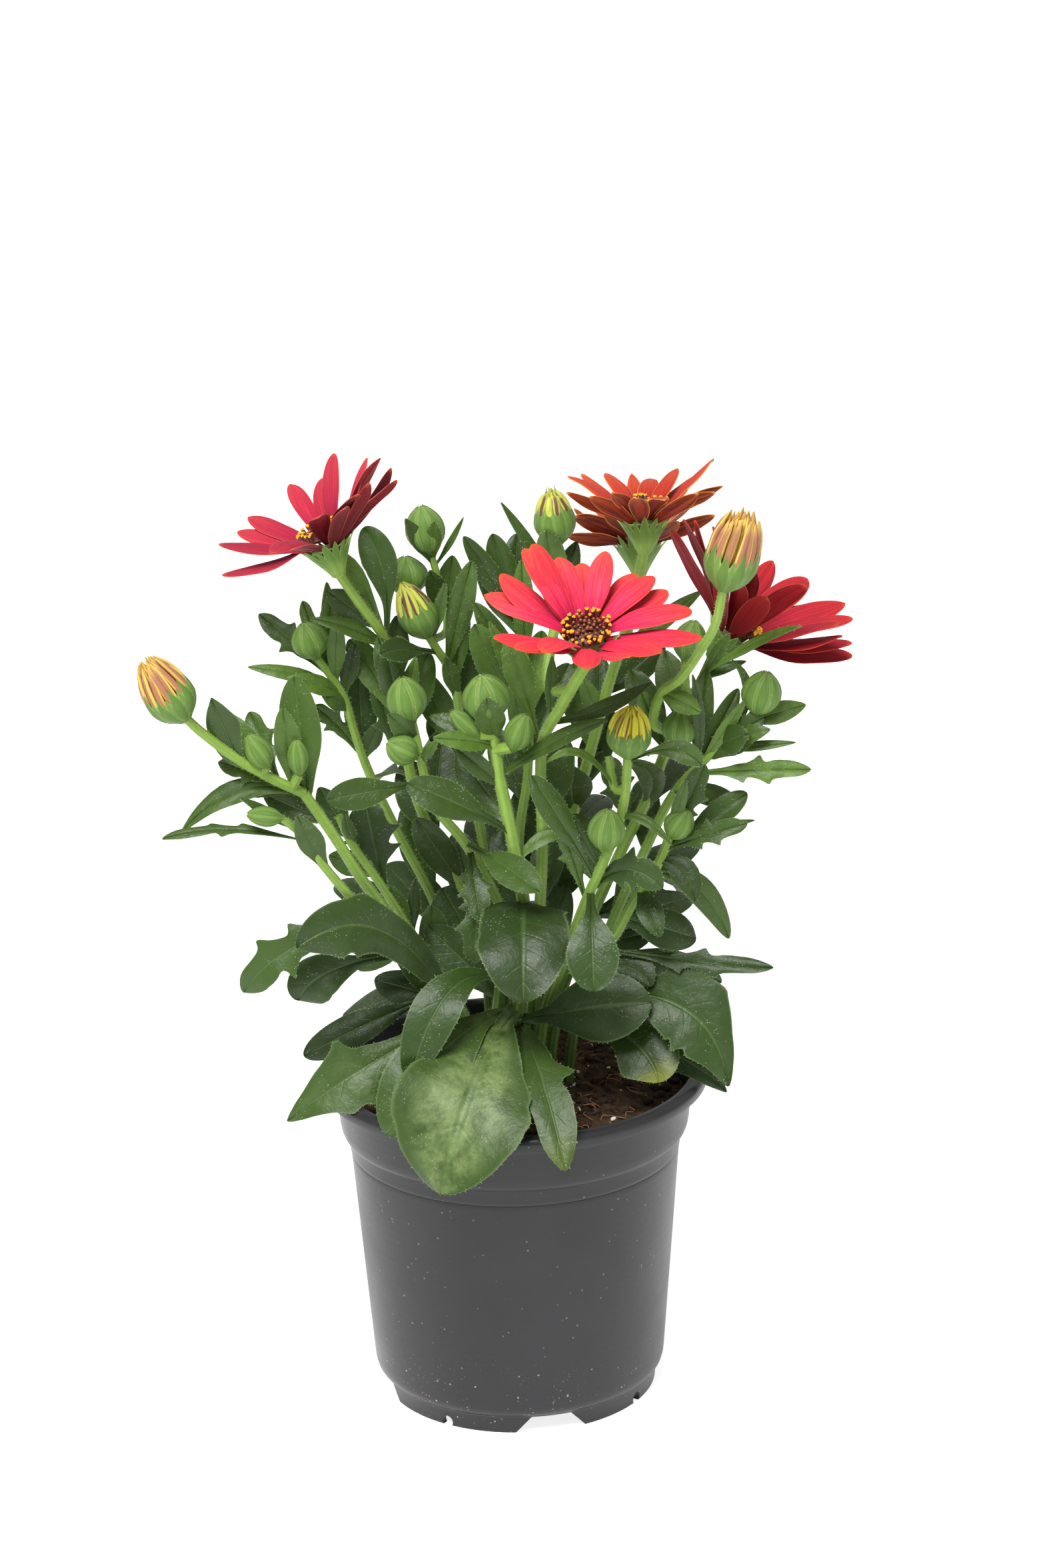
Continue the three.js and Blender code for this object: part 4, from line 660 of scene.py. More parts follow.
def bent_blade(pattern, foot, tip, width, facing, bow, middle=None, *, wave, phase, groove, cup, curl,
               tone, fold=0.14, thick=0.22):
    flat, off = corners_of(pattern), off_of(pattern)[:, None]
    chord = tip - foot
    length = np.linalg.norm(chord)
    direction = chord / length
    upper = unit(facing - direction * facing.dot(direction))
    # the midrib is a parabola from the foot over its peak to the tip
    between = (foot + tip) / 2
    peak = between + upper * bow * length if middle is None else middle
    knee = 2 * peak - between
    t = flat[:, 1:2]
    at = foot * (1 - t) ** 2 + knee * 2 * t * (1 - t) + tip * t ** 2
    along = unit((knee - foot) * (1 - t) + (tip - knee) * t)
    side = unit(np.cross(along, upper))
    out = np.cross(side, along)
    # a wide outline still starts as a thin petiole
    limit = PETIOLE + t * width * 1.6
    reach = np.clip(flat[:, :1] * width / 2, -limit, limit)
    # it folds up from the rib, bends down at its edges and curls down at its tip
    lift = fold * np.abs(reach) - cup * reach ** 2 / width - curl * length * np.clip(t - 0.6, 0, 1) ** 2
    # its edges wave, not both alike, and the rib lies in a groove
    lift += wave * width * np.abs(off) ** 2 * np.sin(math.tau * (1.7 * t + phase) + (off > 0) * 2.1)
    lift -= groove * np.exp(-(off / 0.16) ** 2)
    body = thick * (1 - 0.75 * np.abs(off) ** 3)
    return copy_of(pattern, (at + side * reach + out * (lift + flat[:, 2:] * body)) * MM, tone)


print("a leaf's petiole is", 2 * PETIOLE, "mm wide at the stem")

# %% [markdown]
# ## Buds and cups
#
# A closed bud is a small egg wrapped in green bracts. The egg comes from spinning half its outline
# round an axis: one corner is extruded from point to point, and spin turns the line into a skin. The
# bracts are blades again, wrapped round the same outline.

# %% Spin an outline
def spun(name, outline, steps, finish):
    """A closed skin of revolution round Z from (radius, height) points that start and end on it."""
    bpy.ops.mesh.primitive_plane_add(size=1, location=(0, 0, 0))
    piece = named(name)
    bpy.ops.object.mode_set(mode="EDIT")
    bpy.ops.mesh.select_all(action="SELECT")
    bpy.ops.mesh.merge(type="CENTER")
    bpy.ops.transform.translate(value=(outline[0][0], 0, outline[0][1]))
    for (r0, z0), (r1, z1) in zip(outline, outline[1:]):
        bpy.ops.mesh.extrude_region_move(TRANSFORM_OT_translate={"value": (r1 - r0, 0, z1 - z0)})
    bpy.ops.mesh.select_all(action="SELECT")
    bpy.ops.mesh.spin(steps=steps, angle=math.tau, center=(0, 0, 0), axis=(0, 0, 1))
    bpy.ops.mesh.select_all(action="SELECT")
    bpy.ops.mesh.remove_doubles(threshold=1e-5)
    bpy.ops.mesh.normals_make_consistent(inside=False)
    bpy.ops.object.mode_set(mode="OBJECT")
    piece.data.materials.append(finish)
    return piece


# %% Wrap bracts round an outline
BRACT_SHAPE = [(0, 0.8), (0.3, 0.95), (0.6, 1), (0.82, 0.84), (0.93, 0.5), (1, 0)]
TOOTH_SHAPE = [(0, 0.8), (0.25, 1), (0.5, 0.94), (0.7, 0.6), (0.86, 0.26), (1, 0)]
SEPAL_SHAPE = [(0, 0.9), (0.25, 1), (0.46, 0.96), (0.58, 0.7), (0.68, 0.5), (0.82, 0.32), (0.93, 0.14),
               (1, 0)]
BUD_BLADE = flat_blade("bud_bract_blade", BRACT_SHAPE, 8, 16, BUD_GREEN, BUD_GREEN)
PALE_BLADE = flat_blade("pale_bract_blade", BRACT_SHAPE, 6, 14, BUD_PALE, BUD_PALE)
TOOTH_BLADE = flat_blade("tooth_blade", TOOTH_SHAPE, 6, 14, BUD_GREEN, BUD_GREEN)
PALE_TOOTH = flat_blade("pale_tooth_blade", TOOTH_SHAPE, 6, 14, BUD_PALE, BUD_PALE)
SEPAL_BLADE = flat_blade("sepal_blade", SEPAL_SHAPE, 6, 16, BRACT, BRACT)
LEAST_RADIUS = 0.01  # keeps the points of a blade off the axis


def wrapped(profile, blade, count, low, high, half_turn, lift, start=0.0, puff=0.05, thick=0.02, uneven=0.0):
    """Blades that stand in a ring on a skin of revolution: profile is rows of (height, radius)."""
    heights, radii = np.array(profile, dtype=float).T
    flat, off = corners_of(blade), off_of(blade)
    pieces = []
    for i in range(count):
        height = low + (high - low + uneven * math.sin(2.4 * i)) * flat[:, 1]
        angle = start + math.tau * i / count + flat[:, 0] * half_turn
        swell = puff * (1 - off ** 2) * np.sin(np.pi * flat[:, 1])
        radius = np.interp(height, heights, radii) + lift + swell
        radius = np.maximum(radius + thick * flat[:, 2], LEAST_RADIUS)
        pieces.append(copy_of(blade, np.stack([radius * np.cos(angle), radius * np.sin(angle), height], 1)))
    return pieces


def placed(pieces, origin, axis, width=1.0, height=1.0):
    """Moves finished shapes from the workbench to their place: mm, with their Z along the axis."""
    turn = Vector((0, 0, 1)).rotation_difference(Vector(axis)).to_matrix().to_4x4()
    scale = Matrix.Diagonal((width * MM, width * MM, height * MM, 1))
    shift = Matrix.Translation(Vector(origin) * MM)
    for piece in pieces:
        piece.data.transform(shift @ turn @ scale)
    return pieces


print("bract pattern:", len(BUD_BLADE.data.polygons), "faces")

# %% The closed bud pattern
BUD_PROFILE = [(-0.07, 0.2), (0, 0.26), (0.05, 0.4), (0.14, 0.68), (0.27, 0.91), (0.43, 1), (0.6, 0.96),
               (0.74, 0.82), (0.86, 0.59), (0.94, 0.36), (0.99, 0.16), (1.04, 0.05)]
bud_body = spun("bud_body", [(0, 0)] + [(r, z) for z, r in BUD_PROFILE[1:-2]] + [(0, 0.97)], 24, BUD_PALE)
BUD_BRACTS = 8
outer = wrapped(BUD_PROFILE, BUD_BLADE, BUD_BRACTS, -0.06, 1.0, 0.36, 0.02, puff=0.09, uneven=0.03)
inner = wrapped(BUD_PROFILE, PALE_BLADE, BUD_BRACTS, 0.06, 0.98, 0.4, -0.01, math.pi / BUD_BRACTS,
                uneven=0.02)
CLOSED_BUD = put_away(joined([bud_body, *outer, *inner], "closed_bud"))
print("closed bud:", len(CLOSED_BUD.data.polygons), "faces")


def closed_bud(base, top, width):
    axis = top - base
    height = np.linalg.norm(axis)
    bud = copy_of(CLOSED_BUD, corners_of(CLOSED_BUD))
    return placed([bud], base, axis / height, width / 2, height)


# %% [markdown]
# An opening bud shows its rays, still rolled into thin quills, standing in the green cup. Each quill
# is a copy of the short stem pattern, tapered and leaning in towards the top. Its finish runs in
# stripes: yellow edges and a bronze or brown back.

# %% Rolled rays
def quill_finish(name, back, edge, share):
    fin = Finish(name, Roughness=0.5, Specular_IOR_Level=0.25, Subsurface_Weight=0.08,
                 Subsurface_Radius=(0.004, 0.003, 0.001))
    across, along = fin.across_and_along()
    chance = fin.tone()[2]
    stripe = fin.stripes(fin.plus(across, chance), 2.0)
    body = fin.blend(fin.spread(stripe, share - 0.06, share + 0.08), edge, back)
    body = fin.blend(fin.spread(fin.streaks(across, along, 9.0, chance), 0.42, 0.64), body, back, 0.35)
    body = fin.blend(fin.spread(along, 0.75, 1.0), body, edge, 0.6)
    fin.bump(fin.plus(stripe, fin.times(fin.grain(1500.0), 0.4)), 0.0002, 0.5)
    return fin.painted(body)


YELLOW_QUILL = quill_finish("yellow_rolled_ray", (0.16, 0.07, 0.03), (0.58, 0.55, 0.04), 0.38)
BRONZE_QUILL = quill_finish("bronze_rolled_ray", (0.35, 0.155, 0.08), (0.72, 0.5, 0.1), 0.13)
GREEN_QUILL = quill_finish("green_yellow_rolled_ray", (0.12, 0.05, 0.04), (0.5, 0.53, 0.08), 0.34)

# finish of the rolled rays, how many stand in the outer ring, how far the tips stand from the
# axis, how soon they lean in, how uneven they are, and the length of the cup's teeth
QUILLS = {
    "bud_yellow": (YELLOW_QUILL, 14, 0.3, 2.2, 0.08, 0.16),
    "bud_bronze": (BRONZE_QUILL, 17, 0.66, 2.0, 0.12, 0.14),
    "bud_far_left": (BRONZE_QUILL, 17, 0.46, 1.6, 0.12, 0.15),
    "bud_top": (GREEN_QUILL, 10, 0.14, 1.5, 0.1, 0.3),
    "bud_left_back": (GREEN_QUILL, 10, 0.16, 1.3, 0.1, 0.26),
}
WIDEST = 0.42  # the height, as a share, where a bud is at its widest
THICKEST = 0.21  # the most that a quill's radius takes of the bud's
CUP_TEETH = 10


def quill(points, from_radius, to_radius, finish, chance=0.0):
    corners = corners_of(SHORT_STEM)
    curve = Curve(points)
    share = corners[:, 2]
    at = curve.at(share)
    side, back = across_of(curve.along(share), (0, 1, 0.001))
    taper = [from_radius, from_radius, 0.6 * from_radius + 0.4 * to_radius, 0.5 * to_radius, 0.12 * to_radius]
    radius = np.interp(share, [0, 0.5, 0.82, 0.95, 1], taper)[:, None]
    piece = copy_of(SHORT_STEM, at + (side * corners[:, :1] + back * corners[:, 1:2]) * radius,
                    (0, 0, chance, 0))
    piece.data.materials[0] = finish
    return piece


def opening_bud(name, base, top, width, split, rng):
    finish, around, spread, power, uneven, tooth_share = QUILLS[name]
    axis = top - base
    height = np.linalg.norm(axis)
    r, rim, tooth = width / 2, split * height, tooth_share * height

    def envelope(z):
        """Radius of the whole bud above its widest place."""
        return r * (1 - (1 - spread) * max(0, (z / height - WIDEST) / (1 - WIDEST)) ** power)

    cup_profile = [(-0.04 * height, 0.17 * r), (0.02 * height, 0.3 * r), (0.08 * height, 0.56 * r),
                   (0.18 * height, 0.82 * r), (0.3 * height, 0.97 * r)]
    cup_profile += [(share * height, 0.99 * envelope(share * height))
                    for share in (0.42, 0.55, 0.65, 0.75, 0.85, 0.95)]
    low = rim - 0.6 * tooth
    cup_skin = [(0, 0)] + [(0.96 * radius, z) for z, radius in cup_profile[1:] if z < low]
    cup_skin += [(0.92 * envelope(low), low), (0.7 * envelope(low), low), (0, rim - tooth)]
    cup = [spun("bud_cup", cup_skin, 24, BUD_PALE)]
    cup += wrapped(cup_profile, TOOTH_BLADE, CUP_TEETH, 0, rim + tooth, 0.31, 0.05, 0, 0.28, 0.1, 0.3 * tooth)
    cup += wrapped(cup_profile, PALE_TOOTH, CUP_TEETH, 0.15 * rim, rim + 0.5 * tooth, 0.31, 0.0,
                   math.pi / CUP_TEETH, 0.2, 0.1, 0.2 * tooth)
    rays = []
    # three rings of quills: turn, how many, radius and height as shares of the bud's
    rings = ((0, around, 0.86, 0.97), (0.5, around - 4, 0.6, 1.0), (0, 5, 0.32, 0.98))
    for shift, count, ring, high in rings:
        thick = min(2.9 * ring / count, THICKEST) * r
        for i in range(count):
            angle = math.tau * (i + shift) / count + rng.uniform(-0.08, 0.08)
            twist = rng.uniform(-0.25, 0.25)
            end = height * (high - rng.uniform(0, uneven))
            lean = rng.uniform(0.75, 1.1)
            points = []
            for z, turned, share in ((rim - tooth, 0, 0.95), (rim, 0, 1), (0.5 * (rim + end), 0.4, 1),
                                     (end, 1, lean)):
                out = ring * share * envelope(z)
                way = angle + twist * turned
                points.append((out * math.cos(way), out * math.sin(way), z))
            rays.append(quill(points, thick, 0.6 * thick, finish, float(rng.random())))
    core = spun("bud_core", [(0, rim - tooth), (0.6 * r, rim - 0.95 * tooth), (0.7 * envelope(rim), rim),
                             (0.6 * envelope(0.78 * height), 0.78 * height), (0, 0.88 * height)], 12, finish)
    return placed(cup, base, axis / height), placed([*rays, core], base, axis / height)


print("rolled rays:", ", ".join(QUILLS))

# %% [markdown]
# ## Flower heads
#
# Behind the rays of an open head sits its green cup, and in the middle its disc. The disc is made of
# tiny florets that stand in spirals, each turned by the golden angle from the last. The outer ones
# are open, with orange pollen, and the inner ones are still dark buds.

# %% The cup of a head
CUP_DEPTH = 9.5
CUP_PROFILE = [(-CUP_DEPTH, 1.5), (-7.8, 2.1), (-6, 3), (-4.4, 3.9), (-3, 4.8), (-1.8, 5.6), (-0.8, 6.4),
               (0, 7.2), (1.3, 8.5)]
SEPALS = 8


def head_cup():
    skin = [(0, -CUP_DEPTH)] + [(r, z) for z, r in CUP_PROFILE[:4]] + [(4.5, -2.6), (4.6, -1.4), (0, -1.4)]
    pieces = [spun("head_cup", skin, 24, BRACT)]
    pieces += wrapped(CUP_PROFILE, SEPAL_BLADE, SEPALS, -9.2, 1.1, 0.37, 0.1, 0, 0.3, 0.14, 0.7)
    pieces += wrapped(CUP_PROFILE, SEPAL_BLADE, SEPALS, -8.8, 0.5, 0.35, 0.0, math.pi / SEPALS,
                      0.2, 0.14, 0.7)
    return joined(pieces, "head_cup")


HEAD_CUP = put_away(head_cup())
print("cup of a head:", len(HEAD_CUP.data.polygons), "faces")

# %% The disc of a head
def floret(name, radius, height, tip, finish, tip_finish, lumps):
    """A little tube that widens upwards, with a few round lumps on top."""
    bpy.ops.mesh.primitive_cylinder_add(vertices=6, radius=radius, depth=height, location=(0, 0, height / 2))
    tube = named(name)
    bpy.ops.object.transform_apply(location=True)
    for corner in tube.data.vertices:
        if corner.co.z > height / 2:
            corner.co.x *= 1.3
            corner.co.y *= 1.3
    tube.data.materials.append(finish)
    balls = []
    for i in range(lumps):
        angle = math.tau * i / lumps
        out = 0 if lumps == 1 else 0.7 * tip
        place = (out * math.cos(angle), out * math.sin(angle), height + tip * (0.3 + 0.5 * (i % 2)))
        bpy.ops.mesh.primitive_ico_sphere_add(subdivisions=1, radius=tip, location=place)
        balls.append(named(name + "_lump"))
        bpy.ops.object.transform_apply(location=True)
        balls[-1].data.materials.append(tip_finish)
    return put_away(joined([tube, *balls], name))


OPEN_FLORET = floret("open_floret", 0.32, 1.8, 0.33, DISC_DARK, POLLEN, 4)
BUD_FLORET = floret("floret_bud", 0.36, 1, 0.36, DISC_DARK, DISC_BUD, 1)
GOLDEN = math.pi * (3 - math.sqrt(5))
FLORETS = 68
DISC_REACH = 5.7
OPEN_FROM = 0.72  # the share of the disc's radius from which most florets are open


def head_disc(name, rng):
    bpy.ops.mesh.primitive_uv_sphere_add(segments=20, ring_count=10, radius=1)
    dome = named("disc_dome")
    dome.data.transform(Matrix.Translation((0, 0, 2.1)) @ Matrix.Diagonal((5, 5, 1.3, 1)))
    dome.data.materials.append(DISC_DARK)
    pieces = [dome]
    for i in range(FLORETS):
        share = math.sqrt((i + 0.5) / FLORETS)
        reach = DISC_REACH * share + rng.uniform(-0.25, 0.25)
        angle = i * GOLDEN + rng.uniform(-0.12, 0.12)
        is_open = share + rng.uniform(-0.12, 0.1) > OPEN_FROM
        lean = 0.5 * share ** 2
        at = Vector((reach * math.cos(angle), reach * math.sin(angle), 2.5 + 0.7 * (1 - share ** 2)))
        axis = Vector((math.cos(angle) * lean, math.sin(angle) * lean, 1))
        turn = Vector((0, 0, 1)).rotation_difference(axis).to_matrix().to_4x4()
        spin = Matrix.Rotation(angle, 4, "Z")
        size = Matrix.Scale(rng.uniform(0.8, 1.3), 4)
        pattern = OPEN_FLORET if is_open else BUD_FLORET
        piece = copy_of(pattern, corners_of(pattern))
        piece.data.transform(Matrix.Translation(at) @ turn @ spin @ size)
        pieces.append(piece)
    return joined(pieces, name)


print("florets:", len(OPEN_FLORET.data.polygons), "faces each")

# %% [markdown]
# A ray floret is a long, thin blade. Its root lies under the rim of the disc, and its tip goes where
# the head's row puts it, on a ball of the ray's own length round the middle of the face. Every second
# ray lies one layer higher, so neighbours overlap as on a real head.

# %% The ring of rays
RAY = [(0, 0.3), (0.12, 0.48), (0.28, 0.78), (0.46, 0.97), (0.62, 1), (0.76, 0.93), (0.87, 0.74), (0.94, 0.5),
       (0.98, 0.28), (1, 0)]
POINTED_RAY = [(0, 0.34), (0.13, 0.56), (0.3, 0.84), (0.48, 1), (0.66, 0.94), (0.82, 0.7), (0.93, 0.4),
               (1, 0)]
LAYER = 0.62  # half the step between the two layers
ROOT_RADIUS = 4.9

# outline and width of the rays of each head
RAY_SHAPES = {
    "bloom_left": (RAY, 5.6), "bloom_front": (RAY, 7.2), "bloom_right": (RAY, 7.2),
    "bloom_top": (POINTED_RAY, 5.2), "bloom_back": (POINTED_RAY, 5.2),
}
RAY_BLADES = {name: flat_blade(name + "_ray", RAY_SHAPES[name][0], 8, 20, *finishes)
              for name, finishes in RAY_FINISHES.items()}


def head_rays(name, middle, pole, length, rays, rng):
    pieces = []
    for i, (x, z, way, *own) in enumerate(rays):
        share, bow, turn = [*own, *(1, 0.08 if i % 2 else 0.02, 0)[len(own):]]
        across = np.linalg.norm(seen(x, z, middle[1]) - middle)
        away = way * math.sqrt(max(0, (length * share) ** 2 - across ** 2))
        tip = seen(x, z, middle[1] + away)
        out = tip - middle
        root = middle + unit(out - pole * out.dot(pole)) * ROOT_RADIUS
        lift = pole * (LAYER if i % 2 else -LAYER)
        facing = np.array(Quaternion(Vector(tip - root).normalized(), math.radians(turn)) @ Vector(pole))
        width = RAY_SHAPES[name][1] * rng.uniform(0.86, 1.1)
        shape = dict(phase=rng.random(), cup=rng.uniform(0.1, 0.6), curl=rng.uniform(-0.25, 0.35))
        # the fourth value is painted shade: deeper on the rays of the near side, which face down or away, and
        # a random share of it on every ray
        tone = (0, 0, rng.random() * 9, (0.55 if way < 0 else 0.0) + 0.6 * rng.random())
        pieces.append(bent_blade(RAY_BLADES[name], root + lift, tip + lift, width, facing, bow, fold=0.0,
                                 thick=0.2, wave=0.025, groove=0.2, tone=tone, **shape))
    return pieces


HEADS = {}

# %% [markdown]
# Each head has its own row: where the middle of its face is, its axis, the length of its rays, and
# the place of each ray's tip, on the near side of the middle (-1) or on the far side (1). The ray's
# share of that length, its bow and its turn about its own length, in degrees, may follow.

# %% The rows of the five heads
HEADS["bloom_left"] = dict(
    at=(-45.8, 239, -3), axis=(-0.34, 0.04, 0.94), length=28,
    rays=[
        (-74, 239.5, -1, 1, 0.02, -15), (-73, 231.5, -1, 1, -0.07, -12), (-69, 243, 1, 1, 0.02, -25),
        (-60, 236.5, -1, 1, 0.08, -30), (-55, 238.5, -1), (-54.5, 254.5, 1), (-47, 257.5, 1), (-43, 262.5, 1),
        (-35.5, 262.5, 1, 1, 0.02, -8), (-31, 261, 1, 1, 0.06, -45),
        (-28, 258.7, -1, 0.95, 0.02, -30), (-26.5, 254.3, -1, 0.9, 0.06, -25),
        (-34, 254.5, -1, 1, 0.02, -8), (-37, 251, -1, 1, 0.08, -6),
        (-41.5, 250, -1, 1, 0.02, 8), (-47.5, 246, -1), (-66, 247, 1, 1, 0.02, -10),
    ],
)
HEADS["bloom_front"] = dict(
    at=(21.6, 211.5, -38), axis=(0, -0.45, 0.89), length=29,
    rays=[
        (-3, 212, -1), (-4.8, 223, 1), (-1, 229.5, 1), (5.5, 236, 1), (8, 238, 1), (14.5, 234, 1),
        (20.5, 233, 1, 1.04), (27, 235, 1), (34.5, 230, 1), (39.5, 228.5, 1), (43, 225, 1),
        (49.5, 218.5, 1), (52, 212, -1), (41, 206.5, -1), (33, 206, -1), (21.5, 203, -1),
        (3.5, 211, -1), (10, 208.5, -1),
    ],
)
HEADS["bloom_top"] = dict(
    at=(37, 244, -6), axis=(0, 0.1, 1), length=25,
    rays=[
        (17, 252, -1, 1, 0.02, 30), (17.5, 255.5, 1, 1, 0.06, 0), (21, 257, 1), (27, 255.5, 1),
        (34, 256, 1), (39, 254.5, 1), (42.5, 254.5, 1), (46, 256, 1), (49.5, 254.5, 1),
        (55.5, 258.5, 1, 1, 0.04, -10), (57.5, 253.5, -1, 1, 0.02, -30),
        (55.5, 249.5, -1, 1, 0.06, -30), (51, 250.5, -1, 1, 0.02, -25), (42.5, 249, -1),
        (35, 251, -1), (29, 250, -1, 1, 0.06, 20), (23, 251, -1, 1, 0.02, 30),
    ],
)
HEADS["bloom_back"] = dict(
    at=(35.5, 237.5, 33), axis=(0, 0.45, 0.87), length=24,
    rays=[
        (17, 240, -1, 0.9, 0.02, 35), (19, 244, -1, 0.9, 0.06, 35), (18.5, 247, 1, 0.9, 0.02, 25),
        (23, 247, 1), (55.5, 245, -1, 1, 0.02, -35), (52, 248, 1, 1, 0.06, -20),
        (46, 243, -1, 0.9, 0.02, -20), (40, 246, -1, 0.9), (33, 247, -1, 0.9),
        (27, 246, -1, 0.9, 0.06, 15), (29, 245, 1), (37, 244, 1), (45, 246, 1),
    ],
)
HEADS["bloom_right"] = dict(
    at=(60, 212.5, -3), axis=(0.62, -0.05, 0.78), length=31,
    rays=[
        (44, 240.5, 1, 0.98, 0.05, 34), (47, 243, -1, 1, 0.06, 24), (50.5, 243.5, 1, 1, 0.03, 24),
        (55, 241, 1), (58, 236, -1),
        (65, 232, -1), (71, 232, 1), (79.5, 226.5, 1), (82.5, 219.5, 1), (89, 219, 1, 1, 0.06, 10),
        (88, 215.5, -1, 1, 0.02, 28), (91, 214.5, 1, 1, 0.06, 15), (89, 211.5, -1, 1, -0.02, 20),
        (90.5, 209.5, -1, 1, -0.04, 20), (91.5, 207, -1, 1, -0.07, 20), (79, 225, -1),
        (70, 223, -1), (61, 228, -1),
    ],
)

# %% [markdown]
# A finished piece is shaded smooth where its faces meet at a blunt angle.

# %% Make a head
SHARP = math.radians(50)


def finished(piece, node):
    """Smooths a piece, hangs it on the root and hides the solid that it stands for."""
    select_only(piece)
    bpy.ops.object.shade_smooth_by_angle(angle=SHARP)
    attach(piece, "root")
    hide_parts(node)
    print(f"{piece.name}: {len(piece.data.polygons)} faces")
    return piece


def open_head(name, rng):
    """Makes the head's rays and disc, and returns its green cup and the place where its stem ends."""
    row = HEADS[name]
    middle = seen(*row["at"])
    pole = unit(np.array(row["axis"], dtype=float))
    rays = joined(head_rays(name, middle, pole, row["length"], row["rays"], rng), name + "_ray_florets")
    finished(rays, name + "_rays")
    disc = placed([head_disc(name + "_disc_florets", rng)], middle, pole)[0]
    finished(disc, name + "_disc")
    cup = placed([copy_of(HEAD_CUP, corners_of(HEAD_CUP))], middle, pole)[0]
    return cup, middle + pole * (1 - CUP_DEPTH)


# %% [markdown]
# ## Hairs
#
# Stems and leaf edges carry short stiff hairs. One hair is a three-sided spike, and thousands of
# them are laid out at once. Particle hair would give the same look, but as real mesh the hairs stay
# on the model when it leaves Blender.

# %% Hairs as tiny spikes
STEM_HAIR, EDGE_HAIR = 0.75, 0.38  # lengths
HAIR_RADIUS = 0.035
STEM_HAIRS_PER_MM = 12
EDGE_HAIRS_PER_CORNER = 1.1


def hairs(roots, ways, rng, length):
    """One mesh of spikes that stand on their roots (mm) and point along their ways."""
    count = len(roots)
    ways = unit(ways + rng.normal(0, 0.25, (count, 3)))
    first = unit(np.cross(ways, rng.normal(0, 1, (count, 3))))
    second = np.cross(ways, first)
    turns = [0, math.tau / 3, 2 * math.tau / 3]
    base = [roots + HAIR_RADIUS * (math.cos(a) * first + math.sin(a) * second) for a in turns]
    tips = roots + ways * length * rng.uniform(0.6, 1.15, (count, 1))
    corners = np.stack([*base, tips], axis=1).reshape(-1, 3) * MM
    start = np.arange(count)[:, None, None] * 4
    faces = (np.array([[0, 1, 3], [1, 2, 3], [2, 0, 3], [0, 2, 1]])[None] + start).reshape(-1, 3)
    mesh = bpy.data.meshes.new("hairs")
    mesh.from_pydata(corners.tolist(), [], faces.tolist())
    mesh.materials.append(HAIR)
    piece = bpy.data.objects.new("hairs", mesh)
    bpy.context.collection.objects.link(piece)
    return piece


def stem_hairs(curve, from_radius, to_radius, rng):
    count = int(curve.length[-1] * STEM_HAIRS_PER_MM)
    share = curve.share_at(rng.uniform(0.1, 1, count) * curve.length[-1])
    at, along = curve.at(share), curve.along(share)
    turn = rng.uniform(0, math.tau, (count, 1))
    side, back = across_of(along)
    out = side * np.cos(turn) + back * np.sin(turn)
    radius = (from_radius + (to_radius - from_radius) * share)[:, None] * 0.97
    return hairs(at + out * radius, out + along * 0.3, rng, STEM_HAIR)


def edge_hairs(leaf, rng):
    """Hairs along a leaf's rim, where the flat pattern was at its widest."""
    corners, off = corners_of(leaf) / MM, np.abs(off_of(leaf))
    rim, inner = corners[off > 0.99], corners[off < 0.2]
    count = int(len(rim) * EDGE_HAIRS_PER_CORNER)
    pick = rng.integers(0, len(rim), count)
    roots = rim[pick] + rng.normal(0, 0.12, (count, 3))
    nearest = inner[((roots[:, None] - inner[None]) ** 2).sum(-1).argmin(1)]
    return hairs(roots, unit(roots - nearest), rng, EDGE_HAIR)


# %% [markdown]
# ## Leafy stems
#
# Now the plant grows. Each leafy stem has one set of rows, and a place in them is (x, z, depth), as
# `seen` reads it. The first row of places is the stem itself. The others are its stalks, and each
# starts at the point of the stem that is nearest to its first place. Every stem is one piece with its
# leaves, buds and cups.
#
# A leaf's row has the x and z where it leaves the stem, the x and z of its tip, how far back the tip
# stands, its width, its bow, how far its upper face turns from straight up to the front, in degrees,
# and its kind. The x and z of the middle of its rib may follow, and how far that comes forward.
#
# A bud's row has the places of its foot and its top, and its width. That of an opening bud starts
# with its name and ends with the share of its height where the green cup ends.

# %% Grow a leafy stem
SOIL_TOP = 84
SOIL_CROWN = 3
STEM_GROUND = SOIL_TOP + SOIL_CROWN + 1.5
ROOT_DEPTH = 10

SMALL_LENGTH, SMALL_WIDTH = 19, 5.2  # a leaf under either of them gets the small pattern

# leaves with a tone of their own, by the x and z of their tip
YELLOWED = {(39, 85.5): 0.55, (13.5, 60): 0.12}
# the leaf whose tip is at (-62, 76.5) is paler partly because it is young and partly as painted light from
# above
PALE = {(-21.5, 54): (0.32, 0.55), (-36, 72): (0.25, 0.15), (13.5, 60): (0.22, 0.05),
        (-62, 76.5): (0.16, 0.1)}


def leaf_tone(tip_x, tip_z, width, foot_z, rng):
    """How young, how yellowed at the tip, a random share, and how mottled."""
    height = 0.5 * (foot_z + tip_z)
    narrow, high = np.clip((15 - width) / 9, 0, 1), np.clip((height - 115) / 65, 0, 1)
    youth = narrow * high * rng.uniform(0.1, 0.95)
    far_left = tip_x < -42 and 122 < height < 180
    if far_left:
        youth = 0.14 + 0.55 * youth
    pale, mottled = PALE.get((tip_x, tip_z), (0, 0))
    return max(float(youth), pale), YELLOWED.get((tip_x, tip_z), 0), float(rng.random()), mottled


